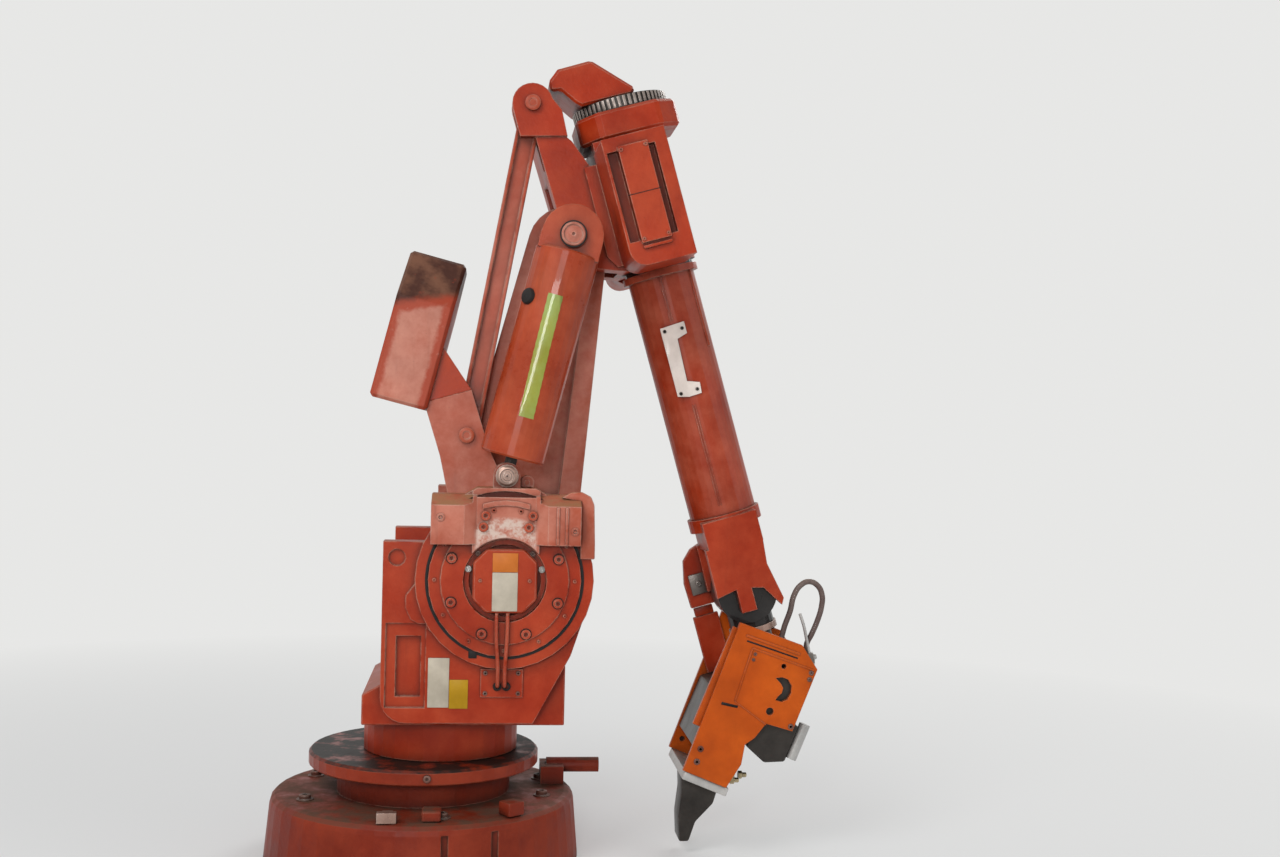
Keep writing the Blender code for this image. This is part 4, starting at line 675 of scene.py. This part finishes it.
for low, high in ((-0.312, -0.165), (-0.913, -0.585)):
    for across in (0.2475, 0.2555):
        put(seams, panel(across, low, across + 0.0035, high, 0.005, 0.001), facing(upper, 0, 0, 0.1035))
side_lip = panel(0.350, -0.417, 0.359, -0.160, 0.016, 0.002)
fitted("tube_seams", put(seams, side_lip, facing(upper, 0, 0, 0.056)), "forearm", arm_paint)
c_plate = slab([(0.210, -0.327), (0.290, -0.322), (0.290, -0.361), (0.256, -0.371), (0.251, -0.507),
                (0.290, -0.520), (0.287, -0.555), (0.246, -0.557), (0.210, -0.548)], 0.004, 0.001)
clean_white = weathered_and_shaded("clean_white", coat=0.1, Paint=(0.74, 0.64, 0.57), Chalk=(0.80, 0.74, 0.68),
                        Bare=(0.5, 0.4, 0.33), Grime=(0.28, 0.16, 0.11), Chalking=0.7, Rubbing=0.4, Soiling=0.4,
                        Dusting=0.2, Gloss=0.35, Dull=0.55, Edge=0.001, Grain=0.05, Grain_Size=160.0)
fitted("tube_plate", placed(c_plate, facing(upper, 0, 0, 0.1095)), "forearm", clean_white)
corners = ((0.222, -0.339), (0.278, -0.342), (0.222, -0.541), (0.276, -0.539))
plate_screws = bmesh.new()
for shape, out in ((turned((0, 0), (0.007, 0), (0.007, 0.034), (0, 0.034), steps=16), 0.0760),
                   (screw(0.0055, 0.004), 0.1134)):
    put(plate_screws, shape, *[facing(upper, *corner, out) for corner in corners])
fitted("tube_plate_screws", plate_screws, "forearm", dark_steel)

# Wrist. A forked casting with a side bar down its far side, which ends in a square steel plate with a hole. Below the
# fork, six small screws hold the turning disc.
tool = Matrix.Translation((1.010665, 0, 0.837886)) @ upper_lean
square = placed(panel(-0.150, 0.010, -0.096, 0.078, 0.006, 0.0015), facing(tool, 0, 0, -0.1205))
put(square, turned((0, 0), (0.010, 0), (0.010, 0.002), (0.008, 0.003), (0.005, 0.003), (0.005, 0.001), (0, 0.001),
                   steps=24), facing(tool, -0.122, 0.044, -0.1147))
worn_steel = weathered_and_shaded("worn_steel", metallic=0.6, specular=0.5, Paint=(0.15, 0.13, 0.115),
                       Chalk=(0.24, 0.21, 0.19), Bare=(0.45, 0.42, 0.39), Chalking=0.7, Rubbing=0.9, Soiling=0.8,
                       Dusting=0.4, Gloss=0.36, Dull=0.6, Edge=0.002, Grain=0.16, Grain_Size=140.0)
fitted("side_bar_plate", square, "forearm", worn_steel)
under_disc, upside_down = Matrix.Translation((0.066, 0, -0.1325)), Matrix.Rotation(math.pi, 4, "X")
disc_bolts = placed(screw(0.0065, 0.006),
                    *[tool @ Matrix.Rotation(math.radians(60 * step + 30), 4, "Z") @ under_disc @ upside_down
                      for step in range(6)])
fitted("turning_disc_screws", disc_bolts, "tool", worn_steel)

# Gun. Two side plates of bright orange sheet carry the transformer between them, with a newer coat of paint than the
# rest. A steel foot, the clamp's dark yoke, fittings, a hose loop and a pale air cylinder hang round them.
gun_paint = weathered_and_shaded("gun_paint", Paint=(0.54, 0.080, 0.002), Chalk=(0.60, 0.115, 0.006),
                      Bare=(0.30, 0.20, 0.14), Grime=(0.05, 0.014, 0.006), Dust=(0.3, 0.12, 0.04), Chalking=0.5,
                      Rubbing=0.8, Soiling=0.6, Dusting=0.3, Gloss=0.33, Dull=0.55, Edge=0.003, Grain=0.12,
                      Grain_Size=90.0)
dress(gun_paint, "gun_plate_near", "gun_plate_far", "gun_edge_rail")
pale_metal = weathered_and_shaded("pale_metal", metallic=0.3, Paint=(0.50, 0.49, 0.47), Chalk=(0.60, 0.58, 0.55),
                       Bare=(0.66, 0.64, 0.62), Grime=(0.08, 0.06, 0.05), Dust=(0.2, 0.16, 0.12), Chalking=0.7,
                       Rubbing=0.7, Soiling=0.8, Dusting=0.5, Gloss=0.3, Dull=0.55, Edge=0.002, Grain=0.08,
                       Grain_Size=140.0)
dress(pale_metal, "gun_air_cylinder")
dress(worn_steel, "gun_manifold")
gun = tool @ Matrix.Translation((-0.05, 0, -0.09)) @ Matrix.Rotation(math.radians(38), 4, "Y")
gun_face = on_both(gun, 0, 0, 0.1799)
strap = placed(panel(-0.156, -0.0658, -0.092, -0.0365, 0.0135, 0.003), facing(tool, 0, 0, -0.1640))
fitted("side_bar_strap", strap, "tool", cast_paint)
ridges = placed(slab([(0.011, -0.020), (0.192, -0.010), (0.192, -0.003), (0.011, -0.013)], 0.004, 0.001), *gun_face)
for outline in ([(0.043, -0.048), (0.047, -0.042), (0.252, -0.034), (0.254, -0.039)],
                [(0.043, -0.048), (0.048, -0.046), (0.060, -0.215), (0.055, -0.217)],
                [(0.055, -0.217), (0.058, -0.221), (0.180, -0.252), (0.176, -0.247)]):
    put(ridges, slab(outline, 0.003, 0.0008), *gun_face)
fitted("gun_plate_ridges", ridges, "tool", gun_paint)
# Black strips on both plates: painted shade where the plates show dark slots.
gun_slot_shade = bmesh.new()
for outline in ([(0.020, -0.029), (0.190, -0.019), (0.190, -0.0235), (0.020, -0.034)],
                [(0.021, -0.236), (0.073, -0.228), (0.073, -0.236), (0.021, -0.245)]):
    put(gun_slot_shade, slab(outline, 0.001, 0.0003), *gun_face)
fitted("gun_plate_slot_shade", gun_slot_shade, "tool", black_rubber)
gun_screws = bmesh.new()
for across, up, radius in ((0.248, -0.047, 0.0078), (0.251, -0.068, 0.0078), (0.253, -0.226, 0.0088),
                           (0.016, -0.396, 0.0098), (0.021, -0.437, 0.0098), (0.060, -0.060, 0.0055),
                           (0.062, -0.078, 0.0055)):
    put(gun_screws, screw(radius, 0.003), *on_both(gun, across, up, 0.1799))
fitted("gun_screws", gun_screws, "tool", worn_bolt)
foot = placed(panel(0.0, -0.505, 0.150, -0.4785, 0.344, 0.003), facing(gun, 0, 0, -0.172))
fitted("gun_foot", foot, "tool", pale_metal)
yoke = slab([(0.015, -0.5053), (0.145, -0.5053), (0.150, -0.560), (0.120, -0.635), (0.124, -0.700), (0.095, -0.712),
             (0.062, -0.640), (0.040, -0.560)], 0.110, 0.006)
fitted("gun_yoke", placed(yoke, facing(gun, 0, 0, -0.055)), "tool", dark_steel)
block = placed(panel(0.096, -0.275, 0.155, -0.240, 0.112, 0.003), facing(tool, 0, 0, -0.035))
fitted("gun_hose_block", block, "tool", worn_steel)


def fitting(holder, across, aside, up, lean, reach=1.0):
    """Six-sided hose fitting and the place where it is screwed in."""
    return (turned((0, 0), (0.013, 0), (0.013, 0.012), (0.010, 0.014), (0.008, 0.014), (0.008, 0.026),
                   (0.006, 0.028), (0, 0.028), steps=6),
            holder @ Matrix.Translation((across, aside, up)) @ Matrix.Rotation(math.radians(lean), 4, "Y")
            @ Matrix.Scale(reach, 4, (0, 0, 1)))


fittings = bmesh.new()
for across, aside, up, lean, reach in ((0.104, -0.020, -0.2405, 0, 1), (0.104, 0.012, -0.2405, 0, 1),
                                       (0.1545, -0.050, -0.2605, 90, 0.5), (0.1545, -0.004, -0.2605, 90, 0.5),
                                       (0.106, -0.055, -0.2405, -12, 0.9), (0.140, -0.060, -0.270, 160, 1.2),
                                       (0.120, 0.000, -0.270, 170, 1.0)):
    put(fittings, *fitting(tool, across, aside, up, lean, reach))
fitted("gun_fittings", fittings, "tool", pale_metal)
brass = weathered_and_shaded("brass", metallic=0.8, specular=0.5, Paint=(0.40, 0.30, 0.16), Chalk=(0.50, 0.42, 0.26),
                  Bare=(0.7, 0.6, 0.4), Chalking=0.7, Rubbing=0.9, Soiling=0.9, Dusting=0.5, Gloss=0.3, Dull=0.55,
                  Edge=0.002, Grain=0.1, Grain_Size=150.0)
couplers = bmesh.new()
for across, aside, up in ((0.172, 0.020, -0.428), (0.196, -0.020, -0.450), (0.172, -0.050, -0.470)):
    put(couplers, *fitting(gun, across, aside, up, 70))
put(couplers, panel(0.135, -0.478, 0.176, -0.420, 0.110, 0.003), facing(gun, 0, 0, -0.040))
fitted("gun_couplers", couplers, "tool", brass)


def hose(name, body, radius, route, material):
    """Hose or rod along a smooth curve through the route's points in the tool's frame."""
    line = bpy.data.curves.new(name, "CURVE")
    line.dimensions = "3D"
    line.bevel_depth = radius
    line.bevel_resolution = 5
    line.resolution_u = 8
    line.use_fill_caps = True
    spline = line.splines.new("BEZIER")
    spline.bezier_points.add(len(route) - 1)
    for point, corner in zip(spline.bezier_points, route):
        point.co = tool @ Vector(corner)
        point.handle_left_type = point.handle_right_type = "AUTO"
    line.materials.append(material)
    made = bpy.data.objects.new(name, line)
    scene.collection.objects.link(made)
    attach(made, body)
    return made


hose_rubber = weathered_and_shaded("hose_rubber", coat=0.05, Paint=(0.10, 0.055, 0.050), Chalk=(0.19, 0.15, 0.13),
                        Bare=(0.25, 0.2, 0.18), Grime=(0.02, 0.015, 0.012), Chalking=0.8, Rubbing=0.4, Soiling=0.7,
                        Dusting=0.5, Gloss=0.4, Dull=0.7, Edge=0.002, Grain=0.15, Grain_Size=140.0)
loop_exit = (0.066, -0.060, -0.2044)
loop = hose("hose_loop", "tool", 0.009, [
    loop_exit, (0.066, -0.060, -0.190), (0.086, -0.060, -0.146), (0.122, -0.058, -0.095),
    (0.148, -0.055, -0.050), (0.178, -0.053, -0.025), (0.208, -0.050, -0.022), (0.231, -0.050, -0.042),
    (0.237, -0.050, -0.075), (0.226, -0.050, -0.110), (0.203, -0.050, -0.148), (0.172, -0.053, -0.186),
    (0.146, -0.057, -0.214), (0.140, -0.058, -0.2405)], hose_rubber)
hose("light_stick", "tool", 0.005, [(0.148, -0.072, -0.110), (0.150, -0.072, -0.150), (0.148, -0.071, -0.195),
                                    (0.145, -0.070, -0.2405)], pale_metal)
